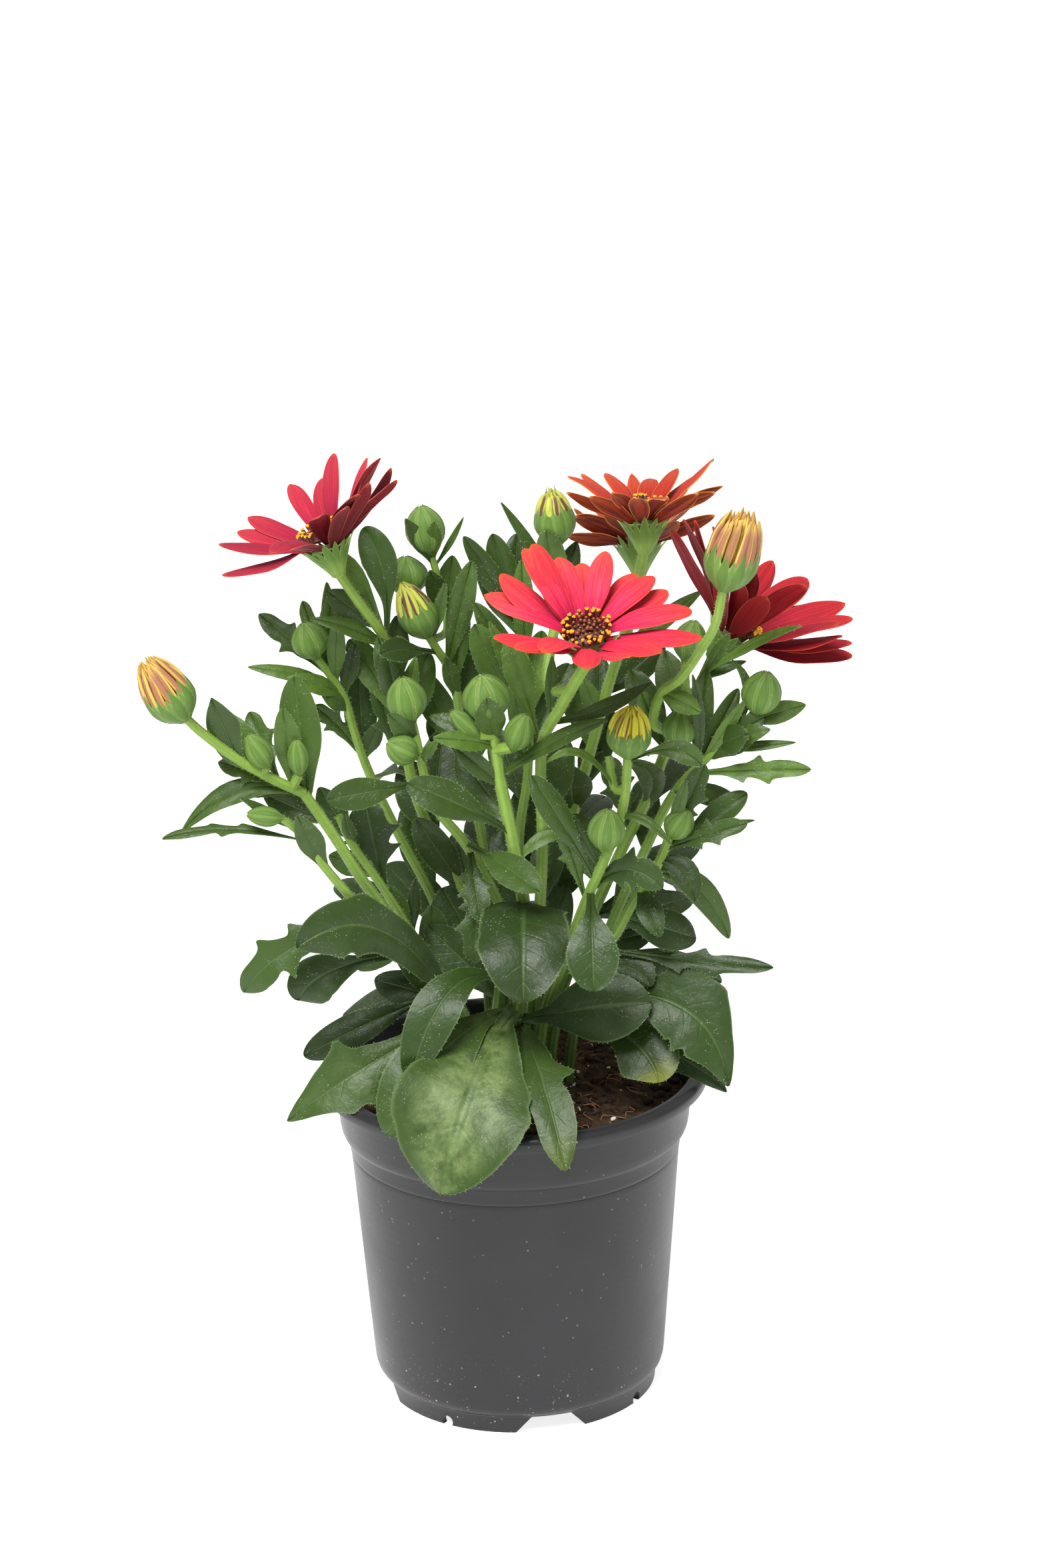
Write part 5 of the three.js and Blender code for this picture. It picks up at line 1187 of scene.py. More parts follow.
def grown_leaf(foot, tip_x, tip_z, back, width, bow, face, kind, middle, rng):
    tip = seen(tip_x, tip_z, foot[1] + back)
    rib = None
    if middle:
        x, z, forward = [*middle, 0][:3]
        rib = seen(x, z, foot[1] + back / 2 - forward)
    small = np.linalg.norm(tip - foot) < SMALL_LENGTH or width < SMALL_WIDTH
    shape = dict(wave=0.015 if small else rng.uniform(0.025, 0.06), phase=rng.random(),
                 groove=0.25 if width > 5 else 0.1, cup=rng.uniform(0.0, 0.5), curl=rng.uniform(-0.1, 0.35))
    return bent_blade(LEAVES["small" if small else kind], foot, tip, width, facing_of(face), bow, rib,
                      tone=leaf_tone(tip_x, tip_z, width, foot[2], rng), **shape)


def leafy_stem(name, root, radius, stems, leaves, seed, buds=(), opening=(), heads=()):
    rng = np.random.default_rng(seed)
    thick, thin = radius
    curves, pieces = [], []

    def nearest(x, z):
        points = np.concatenate([curve.evenly(60) for curve in curves])
        spots = spot_of(points)
        return points[np.hypot(spots[:, 0] - x, spots[:, 2] - z).argmin()]

    cups = [open_head(head, rng) for head in heads]
    for i, places in enumerate(stems):
        points = [seen(*place) for place in places]
        if i < len(cups):
            points[-1] = cups[i][1]
        if i == 0:
            ground = [(*root, STEM_GROUND - ROOT_DEPTH), (*root, STEM_GROUND)]
            curve, size = Curve([*ground, *points]), (thick, thin)
        else:
            curve, size = Curve([nearest(*places[0][:2]), *points]), (thin, thin * 0.85)
        curves.append(curve)
        pieces += [bent_stem(curve, *size), stem_hairs(curve, *size, rng)]
    pieces += [cup for cup, stem_end in cups]
    for x, z, tip_x, tip_z, back, width, bow, face, kind, *middle in leaves:
        leaf = grown_leaf(nearest(x, z), tip_x, tip_z, back, width, bow, face, kind, middle, rng)
        pieces += [leaf, edge_hairs(leaf, rng)]
    for *base, top_x, top_z, top_depth, width in buds:
        pieces += closed_bud(seen(*base), seen(top_x, top_z, top_depth), width)
    for bud, *base, top_x, top_z, top_depth, width, split in opening:
        cup, rays = opening_bud(bud, seen(*base), seen(top_x, top_z, top_depth), width, split, rng)
        pieces += cup
        finished(joined(rays, bud + "_rolled_rays"), bud + "_rays")
    return finished(joined(pieces, name.replace("shoot", "leafy_stem")), name)


# %% The stem in the middle of the front, with the large low leaf
leafy_stem(
    "shoot_centre_front",
    root=(0, -5), radius=(2, 1.7),
    stems=[
        [(1, 102, -6), (4, 132, -12), (1.5, 153, -14), (-2, 173, -14)], [(-3, 182, -14), (-4, 190.5, -14)],
        [(1.5, 182, -17)], [(-7.3, 185.5, -16)],
    ],
    buds=[
        (-4, 190, -14, -6.2, 202, -16, 11.5), (1.7, 181.5, -17, 5.3, 191, -19, 7),
        (-7.3, 185, -16, -14.5, 192.5, -17, 4.8),
    ],
    leaves=[
        (-2.5, 172, -14, 183, -3, 5.5, 0.05, 70, "toothed"), (-3, 184, -5, 196, -9, 8, 0.04, 80, "spoon"),
        (-6, 182, -19.5, 185, -7, 5.4, 0.1, 60, "spoon"), (-6.5, 184, -20, 191, 4, 5, 0.08, 50, "spoon"),
        (-1, 174, 27, 189, -8, 5, 0, 45, "lance", 13, 183.5),
        (1.3, 158, -26.5, 172.5, -6, 10.5, 0.1, 55, "spoon"),
        (2, 150, 16, 157, 3, 4, 0, 45, "lance", 8.5, 156), (0, 161, -13, 181, 9, 11, 0, 85, "oval"),
        (3.8, 138, 3, 109.5, -30, 25.5, 0.22, 45, "fan"), (1, 108, -21.5, 54, -53, 37, 0.2, 35, "broad"),
        (0.6, 107, -36, 72, -38, 21, 0.22, 35, "spoon"),
        (1.5, 114, -28.5, 87, -33, 13, 0, 45, "spoon", -15, 115, 5),
        (0.8, 103, 13.5, 60, -52, 17, 0.2, 35, "toothed"),
        (0.9, 104, 37.5, 109, -16, 19, 0.12, 62, "spoon"),
    ],
    seed=11,
)

# %% The stem left of the middle, with two buds
leafy_stem(
    "shoot_centre_left",
    root=(-6, -1), radius=(1.6, 1.2),
    stems=[
        [(-4.5, 104, -2), (-2, 134, -3), (-6.5, 146, -4), (-12, 156, -5), (-20, 167, -8),
         (-22.5, 178, -10), (-25, 190.5, -10)],
        [(-24.2, 181, -13)],
    ],
    buds=[
        (-25, 190, -10, -27.2, 202, -11, 9.5), (-24, 180, -13, -31.5, 184, -15, 7.5),
    ],
    leaves=[
        (-11, 155, 8, 141, -25, 9.5, 0.08, 50, "spoon"),
        (-10.5, 154, -8, 133, -14, 9.5, 0.12, 55, "toothed"),
        (-8, 149, -10, 121, -11, 11, 0.1, 60, "toothed"),
        (-21.5, 173, -48, 168.5, -10, 8.6, 0.04, 70, "spoon"),
        (-18, 166, -17, 185, 9, 10, 0, 85, "toothed"), (-4, 112, -22, 132, 7, 12, 0, 80, "oval"),
        (-24, 184, -31, 192, -5, 6, 0.08, 70, "oval"), (-22.5, 179, -18, 184.5, -4, 3, 0.1, 60, "lance"),
        (-3, 122, -2, 147, 9, 9, 0, 85, "oval"),
    ],
    seed=12,
)

# %% The stem that carries the left head
leafy_stem(
    "shoot_bloom_left",
    root=(-6, 6), radius=(1.6, 1.3),
    stems=[
        [(-6, 108, 7), (-9, 135, 9), (-17, 151, 8), (-24, 168, 8), (-27, 185, 6), (-29, 204, 4),
         (-32, 214, 2), (-36, 220, 0), (-42.3, 229.5, -3)],
    ],
    heads=["bloom_left"],
    leaves=[
        (-31, 211, -36, 243, 6, 9.5, 0, 80, "spoon", -31, 229),
        (-31, 212, -45.5, 234.5, 8, 5, 0, 80, "spoon", -39, 231),
        (-31, 210, -50.5, 218.5, -4, 5.5, 0.12, 40, "lance"),
        (-28.7, 200, -33, 213, -9, 7.4, 0.08, 70, "oval"),
        (-27.8, 192, -31, 209.5, -11, 7.6, 0.04, 80, "oval"),
        (-27.2, 190, -23.5, 207, -9, 5, 0, 80, "oval"), (-13, 141, -24.5, 162.5, -8, 9.5, 0, 85, "oval"),
        (-20, 157, -27, 179, 9, 12, 0, 85, "oval"), (-27.5, 190, -41, 213, 9, 8, 0, 75, "oval", -35, 204),
        (-25, 174, -34, 201, 1, 8, 0, 75, "toothed", -30.5, 188),
        (-9, 134, -14, 159, 12, 11, 0, 80, "oval"), (-8, 122, -18, 143, 6, 13, 0.05, 70, "spoon"),
        (-9.5, 136, -19, 130, 32, 12, 0.15, 25, "spoon"), (-25, 174, -36, 171.5, 24, 11, 0.12, 30, "spoon"),
        (-34, 217, -46, 226, 4, 8, 0, 75, "oval"), (-27, 186, -20, 209, 8, 9, 0, 85, "oval"),
        (-28.5, 200, -28, 219, 5, 7, 0, 85, "oval"),
    ],
    seed=13,
)

# %% The stem with the left bud
leafy_stem(
    "shoot_bud_left",
    root=(-12, 10), radius=(1.5, 1.1),
    stems=[
        [(-14, 110, 15), (-20, 138, 19), (-30, 160, 18), (-37, 177, 15), (-40, 187, 12),
         (-43, 198, 9), (-49.3, 208, 6)],
    ],
    buds=[
        (-49.5, 208, 6, -52.5, 217.5, 5, 9),
    ],
    leaves=[
        (-46, 203, -64, 220, 4, 8.5, 0.08, 60, "toothed"),
        (-43.5, 199, -67.5, 205.5, -4, 4.5, 0.08, 45, "lance"),
        (-43, 198, -57.5, 202.5, -8, 5.5, 0.12, 55, "spoon"),
        (-45, 202, -43.5, 219, -5, 5, 0.05, 85, "lance"), (-43, 197, -39, 211.5, 0, 5, 0, 85, "toothed"),
        (-46, 204, -44.8, 225, 6, 6, 0, 85, "oval"), (-45, 202, -46, 228.5, 11, 5, 0, 85, "lance"),
        (-47, 205, -52.5, 223.5, 9, 6, 0, 80, "toothed"), (-42, 194, -48.5, 198, -6, 5, 0.1, 60, "oval"),
        (-38, 179, -50.5, 194.5, -4, 7, 0, 75, "toothed", -44.5, 189),
        (-17, 128, -33, 150, 20, 12, 0.1, 40, "spoon"),
        (-15, 117, -45.5, 107, 28, 10, 0, 40, "spoon", -31, 112, 2),
        (-37.5, 179, -33, 190, -3, 5, 0, 80, "oval"), (-38, 180, -38.5, 203, 4, 9, 0, 85, "oval"),
        (-21, 141, -27, 167, 6, 10, 0, 80, "oval"), (-16, 124, -22, 146, 3, 8, 0, 80, "oval"),
    ],
    seed=14,
)

# %% The long stem to the far left, with an opening bud
leafy_stem(
    "shoot_left",
    root=(-13, 0), radius=(1.6, 1.4),
    stems=[
        [(-14, 106, -2), (-25, 125, -11), (-39.5, 146, -18), (-46, 157.5, -20), (-54, 170.5, -22)],
        [(-62, 174.5, -25), (-72, 181, -30), (-81, 188.5, -36), (-84.4, 192, -38)], [(-55, 176, -26)],
        [(-63.3, 178.5, -27)],
    ],
    buds=[
        (-55, 175.5, -26, -55.5, 185.5, -27, 5), (-63.3, 178, -27, -68.5, 187, -28, 6.5),
    ],
    opening=[
        ("bud_far_left", -84.4, 191.5, -38, -94.8, 208.5, -40, 12.8, 0.42),
    ],
    leaves=[
        (-54, 170.5, -87, 160, -4, 6.5, 0, 50, "lance", -71.5, 171.5),
        (-71, 180.5, -77.5, 197, -6, 8.5, 0, 75, "lance"), (-63, 176, -77.5, 193, 5, 11, 0.04, 80, "oval"),
        (-60, 174.5, -67.5, 193.5, 9, 8.5, 0, 80, "toothed"),
        (-56, 172, -58.8, 194, -3, 7, 0.03, 85, "oval"), (-53, 169, -55.5, 203, 7, 11, 0, 85, "oval"),
        (-58, 173, -76.5, 180, 3, 8, 0.05, 55, "toothed"), (-55, 171, -77, 172.5, 8, 5, 0.05, 60, "lance"),
        (-49, 162, -65, 170.5, 7, 8, 0, 75, "oval"),
    ],
    seed=15,
)

# %% The low stem on the left
leafy_stem(
    "shoot_left_low",
    root=(-9, -8), radius=(1.5, 1.1),
    stems=[
        [(-13, 106, -12), (-26, 123, -19), (-41, 139, -27), (-49.5, 150, -29), (-56, 160, -30)],
        [(-60.3, 163.6, -33)],
    ],
    buds=[
        (-60, 163.5, -33, -69.5, 164.8, -34, 5),
    ],
    leaves=[
        (-18, 113, -57.5, 126.5, -25, 19, 0, 62, "lobed", -37, 132, 3),
        (-36, 135, -73, 113.5, -5, 13.5, 0, 65, "toothed", -59, 126.5, 3),
        (-27, 124, -58, 111, -6, 13, 0, 65, "spoon", -48, 120, 2),
        (-14, 106, -62, 76.5, -14, 19, 0, 60, "drawn", -40, 92, 6),
        (-54, 158, -92.5, 159.5, -2, 5.5, 0.08, 25, "toothed"),
        (-49.5, 150, -56, 164, -5, 7, 0, 80, "toothed"), (-56, 160, -70.5, 169.5, -4, 3, 0, 50, "lance"),
    ],
    seed=16,
)

# %% The leafy stem inside the left
leafy_stem(
    "shoot_left_inner",
    root=(-15, 5), radius=(1.5, 1.1),
    stems=[
        [(-17, 108, 5), (-25, 127, 0), (-33, 142, -6), (-42, 156.5, -8), (-45, 164, -8)],
    ],
    leaves=[
        (-34, 144, -38, 168, 4, 16, 0, 85, "toothed"), (-41, 155, -43.5, 164, -4, 3.5, 0, 80, "lance"),
        (-20, 112, -57, 95.5, -3, 10, 0, 60, "spoon", -37, 105.5),
        (-17, 108, -31, 126, -5, 9, 0, 80, "oval", -23, 118), (-26, 130, -47, 146, 22, 10, 0.1, 40, "oval"),
        (-26, 129, -41, 120, 2, 7, 0.1, 50, "oval"), (-27, 131, -32, 144, -5, 5, 0, 80, "spoon"),
        (-26.5, 130, -25, 146, -4, 3.5, 0, 80, "lance"), (-43, 158, -50, 172, 4, 8, 0, 85, "toothed"),
        (-19, 114, -21, 138, 2, 9, 0, 80, "oval"), (-36, 147, -48, 153, 5, 7, 0.1, 60, "oval"),
        (-18, 110, -37, 117, 5, 10, 0.08, 60, "oval"),
    ],
    seed=17,
)

# %% The stem that carries the front head and the top bud
leafy_stem(
    "shoot_bloom_front",
    root=(4, 2), radius=(1.6, 1.5),
    stems=[
        [(5, 104, 0), (8, 138, -5), (9, 155, -8), (9.5, 183, -12), (14, 192, -20),
         (20.5, 203, -33.5)],
        [(11, 200, -4), (14, 220, 5), (14.5, 238, 6)],
    ],
    opening=[
        ("bud_top", 14.5, 237.5, 6, 12.8, 252.5, 5, 10.5, 0.66),
    ],
    heads=["bloom_front"],
    leaves=[
        (12, 188, 38, 199.5, -3, 4.6, 0, 45, "lance", 26, 192.5), (9, 160, 16, 184, 9, 9, 0, 85, "oval"),
        (9.5, 182, 1, 212, 4, 7.5, 0, 80, "spoon"), (10.5, 190, 12.5, 207, 4, 3.5, 0, 80, "lance"),
        (14.2, 224, 11.5, 241, -6, 8, 0, 85, "oval"), (14.2, 223, 19.5, 238, 5, 6, 0, 85, "oval"),
        (14, 226, -0.2, 249, 0, 3, 0.03, 60, "lance"), (8, 138, 12, 160, 9, 9, 0, 85, "oval"),
        (6.5, 120, 15, 143, 9, 10, 0, 80, "oval"),
    ],
    seed=18,
)

# %% The stem with the buds at the back
leafy_stem(
    "shoot_buds_back",
    root=(-1, 10), radius=(1.5, 1.1),
    stems=[
        [(-2, 112, 13), (-6, 150, 17), (-11, 180, 16), (-14, 203, 12), (-17.5, 209, 9),
         (-20, 213.5, 7)],
        [(-15, 215, 16), (-17.5, 231, 16), (-19, 236.5, 16)], [(-22, 215, 17), (-25, 225, 18)],
    ],
    buds=[
        (-19, 236, 16, -21, 248.5, 15, 9.5), (-25, 224.5, 18, -25.2, 235, 18, 10.5),
    ],
    opening=[
        ("bud_left_back", -20, 213, 7, -26.5, 228, 4, 10, 0.55),
    ],
    leaves=[
        (-13.5, 200, -11, 225.5, -6, 6.5, 0, 85, "oval"), (-18.5, 211, -15, 227.5, -2, 3.5, 0, 75, "lance"),
        (-16, 219, -19, 231, -4, 6, 0, 85, "oval"), (-15.2, 216, -13, 235, 3, 8, 0, 80, "oval"),
        (-14.2, 206, -8, 233.5, -6, 7, 0, 80, "oval"),
        (-17, 208, -32, 209, -19, 7, 0, 60, "spoon", -25, 209.5),
        (-13.2, 195, -15.5, 207.5, -8, 4.5, 0, 85, "lance"),
        (-18.2, 233, -25, 245, -7, 4.5, 0, 70, "lance"), (-18.4, 234, -17.5, 244, -8, 4.5, 0, 85, "lance"),
        (-17.6, 232, -10, 245, 2, 1.8, -0.15, 60, "lance"), (-11, 180, -24, 205, 9, 9, 0, 80, "oval"),
        (-8, 164, -20, 193, 11, 10, 0, 80, "toothed"), (-10, 175, -4, 203, 9, 9, 0, 80, "oval"),
        (-5, 142, -6, 166, 24, 13, 0.1, 40, "spoon"), (-12, 186, -20, 180, 22, 11, 0.12, 30, "spoon"),
        (-3, 120, -16, 116, 50, 17, 0.15, 25, "spoon"), (-12, 190, -9.5, 213, 4, 8, 0, 85, "oval"),
    ],
    seed=19,
)

# %% The leafy stem at the back of the middle
leafy_stem(
    "shoot_centre_back",
    root=(4, 10), radius=(1.5, 1.1),
    stems=[
        [(2.5, 112, 11), (3, 158, 7), (5.5, 175, 7), (6, 200, 10), (3, 222, 12)],
    ],
    leaves=[
        (4, 217, -10, 240, -2, 6, 0.04, 60, "oval"), (3.5, 219, 3.8, 240.5, 5, 8, 0, 85, "oval"),
        (4.5, 212, -6, 234, 7, 8, 0, 85, "oval"), (5, 205, 5, 233, -5, 6, 0, 80, "oval"),
        (5.5, 195, -7.5, 222, -4, 7, 0.08, 60, "oval"), (5.5, 192, -4, 217, -8, 5, 0.08, 60, "oval"),
        (5.7, 185, -7.5, 215.5, -9, 9, 0, 75, "spoon"), (5.7, 180, 2, 199, -6, 6, 0, 85, "oval"),
        (4, 168, -3, 187, 9, 10, 0, 80, "oval"), (5.5, 182, 17, 205, 11, 9, 0, 80, "oval"),
        (3, 140, -1, 160, 13, 12, 0, 80, "oval"), (3, 152, 14, 142, 30, 13, 0.15, 25, "spoon"),
        (5.5, 180, -3, 176, 24, 11, 0.12, 30, "spoon"), (6, 190, 10, 214, 6, 8, 0, 85, "oval"),
        (3.5, 217, -2.5, 240.5, 2, 8, 0, 80, "oval"), (3, 150, 5, 172, 6, 9, 0, 85, "oval"),
    ],
    seed=20,
)

# %% The stem with the yellow bud, right of the middle
leafy_stem(
    "shoot_buds_right_front",
    root=(7, -5), radius=(1.6, 1.2),
    stems=[
        [(8, 103, -6), (15, 124, -14), (21, 140, -22), (25, 149, -26), (29, 159, -27),
         (31.2, 168, -28), (32, 179, -28)],
        [(28.5, 170, -25), (27, 179, -23)], [(25.5, 153.5, -31)],
    ],
    buds=[
        (25.5, 153, -31, 26.7, 164, -33, 8.8),
    ],
    opening=[
        ("bud_yellow", 32, 178.5, -28, 33, 193, -29, 11, 0.5),
    ],
    leaves=[
        (22, 142, 22, 112.5, -18, 14, 0.14, 55, "spoon"),
        (21, 141, 41, 141.5, -9, 12, 0, 72, "toothed", 31, 147),
        (20, 138, 14, 161, -3, 7, 0, 80, "toothed"), (22.8, 144, 6.5, 174, -2, 7.5, 0.08, 60, "spoon"),
        (24.5, 148, 16, 164, -1, 3, 0, 60, "lance"),
        (31.8, 176, 51.5, 176, -6, 6, 0, 60, "spoon", 43, 180.5),
        (28.4, 170, 10.5, 177.5, -4, 2.6, 0, 40, "lance", 19.5, 180),
        (29.8, 161, 43.5, 153.5, -6, 3, 0, 40, "lance", 36, 161),
    ],
    seed=21,
)

# %% The low stem on the right
leafy_stem(
    "shoot_right_low",
    root=(10, -1), radius=(1.5, 1.2),
    stems=[
        [(12, 104, -4), (21, 118, -10), (29.5, 131, -15), (33, 138, -16), (39, 147, -18),
         (43, 156.5, -21)],
    ],
    buds=[
        (43, 156, -21, 48, 163.5, -23, 7),
    ],
    leaves=[
        (41.5, 153, 63.5, 159.5, -5, 7.5, 0.06, 60, "toothed"),
        (42, 154.5, 65.5, 160, 3, 3, 0.08, 40, "lance"), (41, 151, 63.5, 168, 5, 7, 0, 70, "spoon"),
        (42.5, 155, 52.5, 176, -1, 9, 0.04, 75, "toothed"), (42.8, 156, 47.5, 172, -6, 3.5, 0, 70, "lance"),
        (38, 146, 59, 126.5, 3, 7.5, 0, 60, "oval", 50, 141.5),
        (40.5, 150, 49.5, 137.5, -6, 7.5, 0, 65, "oval", 46.5, 146),
        (35.5, 141.5, 40, 127.5, -10, 7, 0.15, 60, "oval"), (30.5, 133, 50, 127, 4, 11, 0.08, 60, "oval"),
        (25, 124, 70.5, 118, -8, 7.5, 0, 55, "toothed", 48, 120.6),
        (22, 120, 37.5, 113.5, -7, 10, 0, 65, "oval", 32, 119),
        (17.5, 112, 58, 84, -20, 21, 0, 62, "cornered", 46, 107, 4),
        (15, 108, 58, 83, -12, 9, 0, 50, "lance", 40, 96),
        (24, 122, 57, 114, 14, 8, 0, 70, "oval", 42, 120),
        (14, 107, 39, 85.5, -20, 17, 0, 60, "spoon", 32, 98, 2),
    ],
    seed=22,
)

# %% The stem that carries the right head and the bronze bud
leafy_stem(
    "shoot_bloom_right",
    root=(9.5, 5), radius=(1.6, 1.35),
    stems=[
        [(12, 108, 6), (21, 132, 2), (30, 152.5, -3), (37.5, 168, -5), (42, 180, -5),
         (47, 191, -4), (51.5, 199, -4), (54.8, 204.7, -3)],
        [(39, 188, -14), (41, 196, -20), (46, 200, -25), (51, 207, -31), (55.5, 215, -37),
         (57.5, 224.5, -40)],
        [(47.5, 197, -10), (47.5, 206, -9)], [(45.5, 182, -15)],
    ],
    buds=[
        (47.5, 205, -9, 50, 216, -9, 8), (45.5, 181.5, -15, 46.3, 191.5, -16, 8.5),
    ],
    opening=[
        ("bud_bronze", 57.5, 224, -40, 63.5, 245.5, -42, 13.5, 0.42),
    ],
    heads=["bloom_right"],
    leaves=[
        (53.5, 202.5, 77, 214.5, -22, 4, 0.02, 40, "lance"), (53, 202, 59, 212, -24, 3.6, 0, 70, "lance"),
        (52, 200, 63.5, 204.5, 0, 3, 0.08, 45, "lance"), (41, 196, 51.5, 190.5, -5, 6, 0.1, 60, "oval"),
        (39, 186, 35.5, 197, -4, 5.5, 0, 85, "oval"),
        (36, 164, 32.5, 177.5, -9, 7, 0, 75, "oval", 38.5, 172), (46.5, 190, 42, 208, 9, 9, 0, 80, "oval"),
        (42, 180, 33, 203, 12, 9, 0, 80, "oval"), (33, 158, 27, 179, 9, 10, 0, 80, "toothed"),
        (25, 142, 17, 163, 9, 11, 0, 80, "oval"), (36, 164, 50, 180, 26, 10, 0.1, 35, "oval"),
        (27, 146, 45, 140, 26, 12, 0.12, 30, "spoon"), (22, 134, 43, 139, 8, 10, 0.08, 60, "oval"),
        (18, 124, 38, 129, 6, 9, 0.05, 60, "oval"),
    ],
    seed=23,
)

# %% The stem that carries the top head and the one behind it
leafy_stem(
    "shoot_blooms_back",
    root=(8.5, 11), radius=(1.6, 1.4),
    stems=[
        [(8, 114, 15), (14, 150, 17), (22, 180, 16), (27, 198, 13), (32, 214, 5),
         (36.6, 234.5, -5.5)],
        [(28, 200, 24), (33, 215, 29), (35.3, 229, 29)],
    ],
    heads=["bloom_top", "bloom_back"],
    leaves=[
        (11, 136, 15, 153, -6, 12, 0, 85, "oval"), (17.5, 163, 17, 176.5, -7, 11, 0, 85, "oval"),
        (25.5, 190, 20.5, 200.5, -3, 5, 0, 80, "oval"), (27, 197, 42, 210, 8, 9, 0, 80, "oval"),
        (15, 152, 26, 168, 24, 11, 0.1, 35, "oval"), (8, 122, 24, 117, 46, 17, 0.15, 25, "spoon"),
        (22, 180, 36, 180, 24, 11, 0.12, 30, "spoon"), (11, 136, 4, 128, 30, 13, 0.15, 25, "spoon"),
        (29, 205, 52, 224, 4, 5, 0.1, 60, "toothed"), (22, 181, 18, 205, 8, 11, 0, 85, "oval"),
        (19, 168, 28, 192, 6, 9, 0, 85, "oval"), (26, 188, 25, 208, 8, 7, 0, 85, "oval"),
    ],
    seed=24,
)

# %% The stem with the right bud
leafy_stem(
    "shoot_bud_right",
    root=(15, 1), radius=(1.5, 1.1),
    stems=[
        [(18, 108, 0), (28, 134, -6), (37, 154, -9), (44, 168, -13), (52, 177, -15),
         (62, 186.5, -16), (66, 190.5, -16)],
    ],
    buds=[
        (66, 190, -16, 69, 201.5, -17, 9.5),
    ],
    leaves=[
        (48, 173, 80.5, 174, -4, 7.5, 0.06, 60, "toothed"),
        (55, 179.5, 76.5, 181.5, -4, 3, 0.03, 45, "lance"), (63, 187.5, 79, 192, 4, 6, 0.05, 60, "oval"),
        (53, 178, 68, 189, -3, 9, 0.08, 65, "oval"), (56, 181, 64, 184.5, -8, 8, 0.1, 60, "oval"),
        (58, 183, 69.5, 185.5, -6, 5, 0.05, 60, "lance"), (50, 175.5, 61.5, 197, 4, 5.5, 0.03, 75, "oval"),
        (51, 176.5, 63.5, 194, -4, 3.5, 0.03, 70, "lance"),
        (60, 185, 59.5, 205, 4, 2.6, 0, 85, "lance", 63.8, 196), (50, 176, 53, 202.5, 9, 6, 0, 80, "oval"),
        (49.5, 175, 49.3, 201, -9, 3, 0, 80, "lance", 51, 188), (28, 134, 39, 150, 9, 11, 0, 80, "oval"),
        (31, 141, 50, 154, 24, 10, 0.1, 40, "oval"), (20, 112, 44, 108, 30, 15, 0.12, 35, "spoon"),
        (36.5, 153, 36, 172, 24, 9, 0, 75, "oval"), (44, 168, 61, 166, 4, 6, 0.1, 60, "oval"),
        (27, 130, 49, 139, 18, 9, 0.08, 50, "oval"),
    ],
    seed=25,
)

# %% [markdown]
# ## The pot
#
# The pot is thin moulded plastic. Its wall is an outline spun round the axis: up the outside, over
# the rolled lip and down the inside. The drain notches in the foot and the holes in the floor are cut
# with Boolean, by a block with a narrow top, a small round bar and a short cylinder.

# %% Pot plastic
def pot_finish():
    fin = Finish("black_pot_plastic", Roughness=0.42, Specular_IOR_Level=0.38)
    haze = fin.spread(fin.grain(28.0, 4.0, 0.6), 0.3, 0.75)
    body = fin.blend(haze, (0.016, 0.016, 0.0175), (0.024, 0.024, 0.026))
    height = fin.height()
    low = fin.flipped(fin.spread(height, 0.0, 0.035))
    dust = fin.times(fin.specks(420.0, 0.07, 0.15), fin.spread(fin.grain(190.0), 0.5, 0.6))
    body = fin.blend(fin.times(dust, fin.plus(0.4, low)), body, (0.42, 0.36, 0.32), 0.8)
    crumbs = fin.times(fin.specks(800.0, 0.12, 0.24), fin.spread(fin.grain(150.0), 0.48, 0.6))
    body = fin.blend(fin.times(crumbs, fin.calc("POWER", low, 2.0)), body, (0.3, 0.19, 0.13), 0.9)
    fin.plug(fin.shader.inputs["Roughness"], fin.plus(0.3, fin.times(haze, 0.14)))
    rings = fin.calc("SINE", fin.times(height, 2600.0))
    fin.bump(fin.plus(fin.grain(1500.0, 2.0), fin.times(rings, 0.12)), 0.00006, 0.5)
    return fin.painted(body)


POT_PLASTIC = pot_finish()
print("pot finish:", POT_PLASTIC.name)

# %% The pot's wall
POT_OUTLINE = [
    (0, 5), (35.3, 5), (35.4, 0.3), (35.6, 0), (37.1, 0), (37.3, 0.25), (37.45, 4.4), (37.9, 5.2),
    (38.7, 5.8), (39.3, 6.6), (39.7, 8), (39.9, 9.8), (44.5, 67.8), (44.65, 69.2), (44.55, 69.5),
    (44.8, 69.8), (44.9, 70.6), (45.15, 73.2), (45.35, 74), (46.2, 74.6), (46.7, 75.2), (47.1, 76.2),
    (47.4, 78), (48.1, 85.4), (48.4, 86.6), (49.2, 87.4), (50.4, 87.8), (51.8, 87.95), (52.4, 88.3),
    (52.6, 89), (52.6, 90.2), (52.3, 91), (51.7, 91.5), (51, 91.7), (49, 91.6), (48.3, 91.2), (47.9, 90.2),
    (46.2, 78), (43.2, 70), (38.4, 10), (36, 6.6), (0, 6.6),
]
NOTCHES = 4
FIRST_NOTCH = 12.8  # degrees
NOTCH_WIDE, NOTCH_NARROW, NOTCH_HIGH = 21.3, 10.7, 4.8
BAR_RADIUS, HOLE_RADIUS = 1.7, 3.5
NOTCH_OUT, BAR_OUT, HOLE_OUT = 34, 36, 27  # from the axis


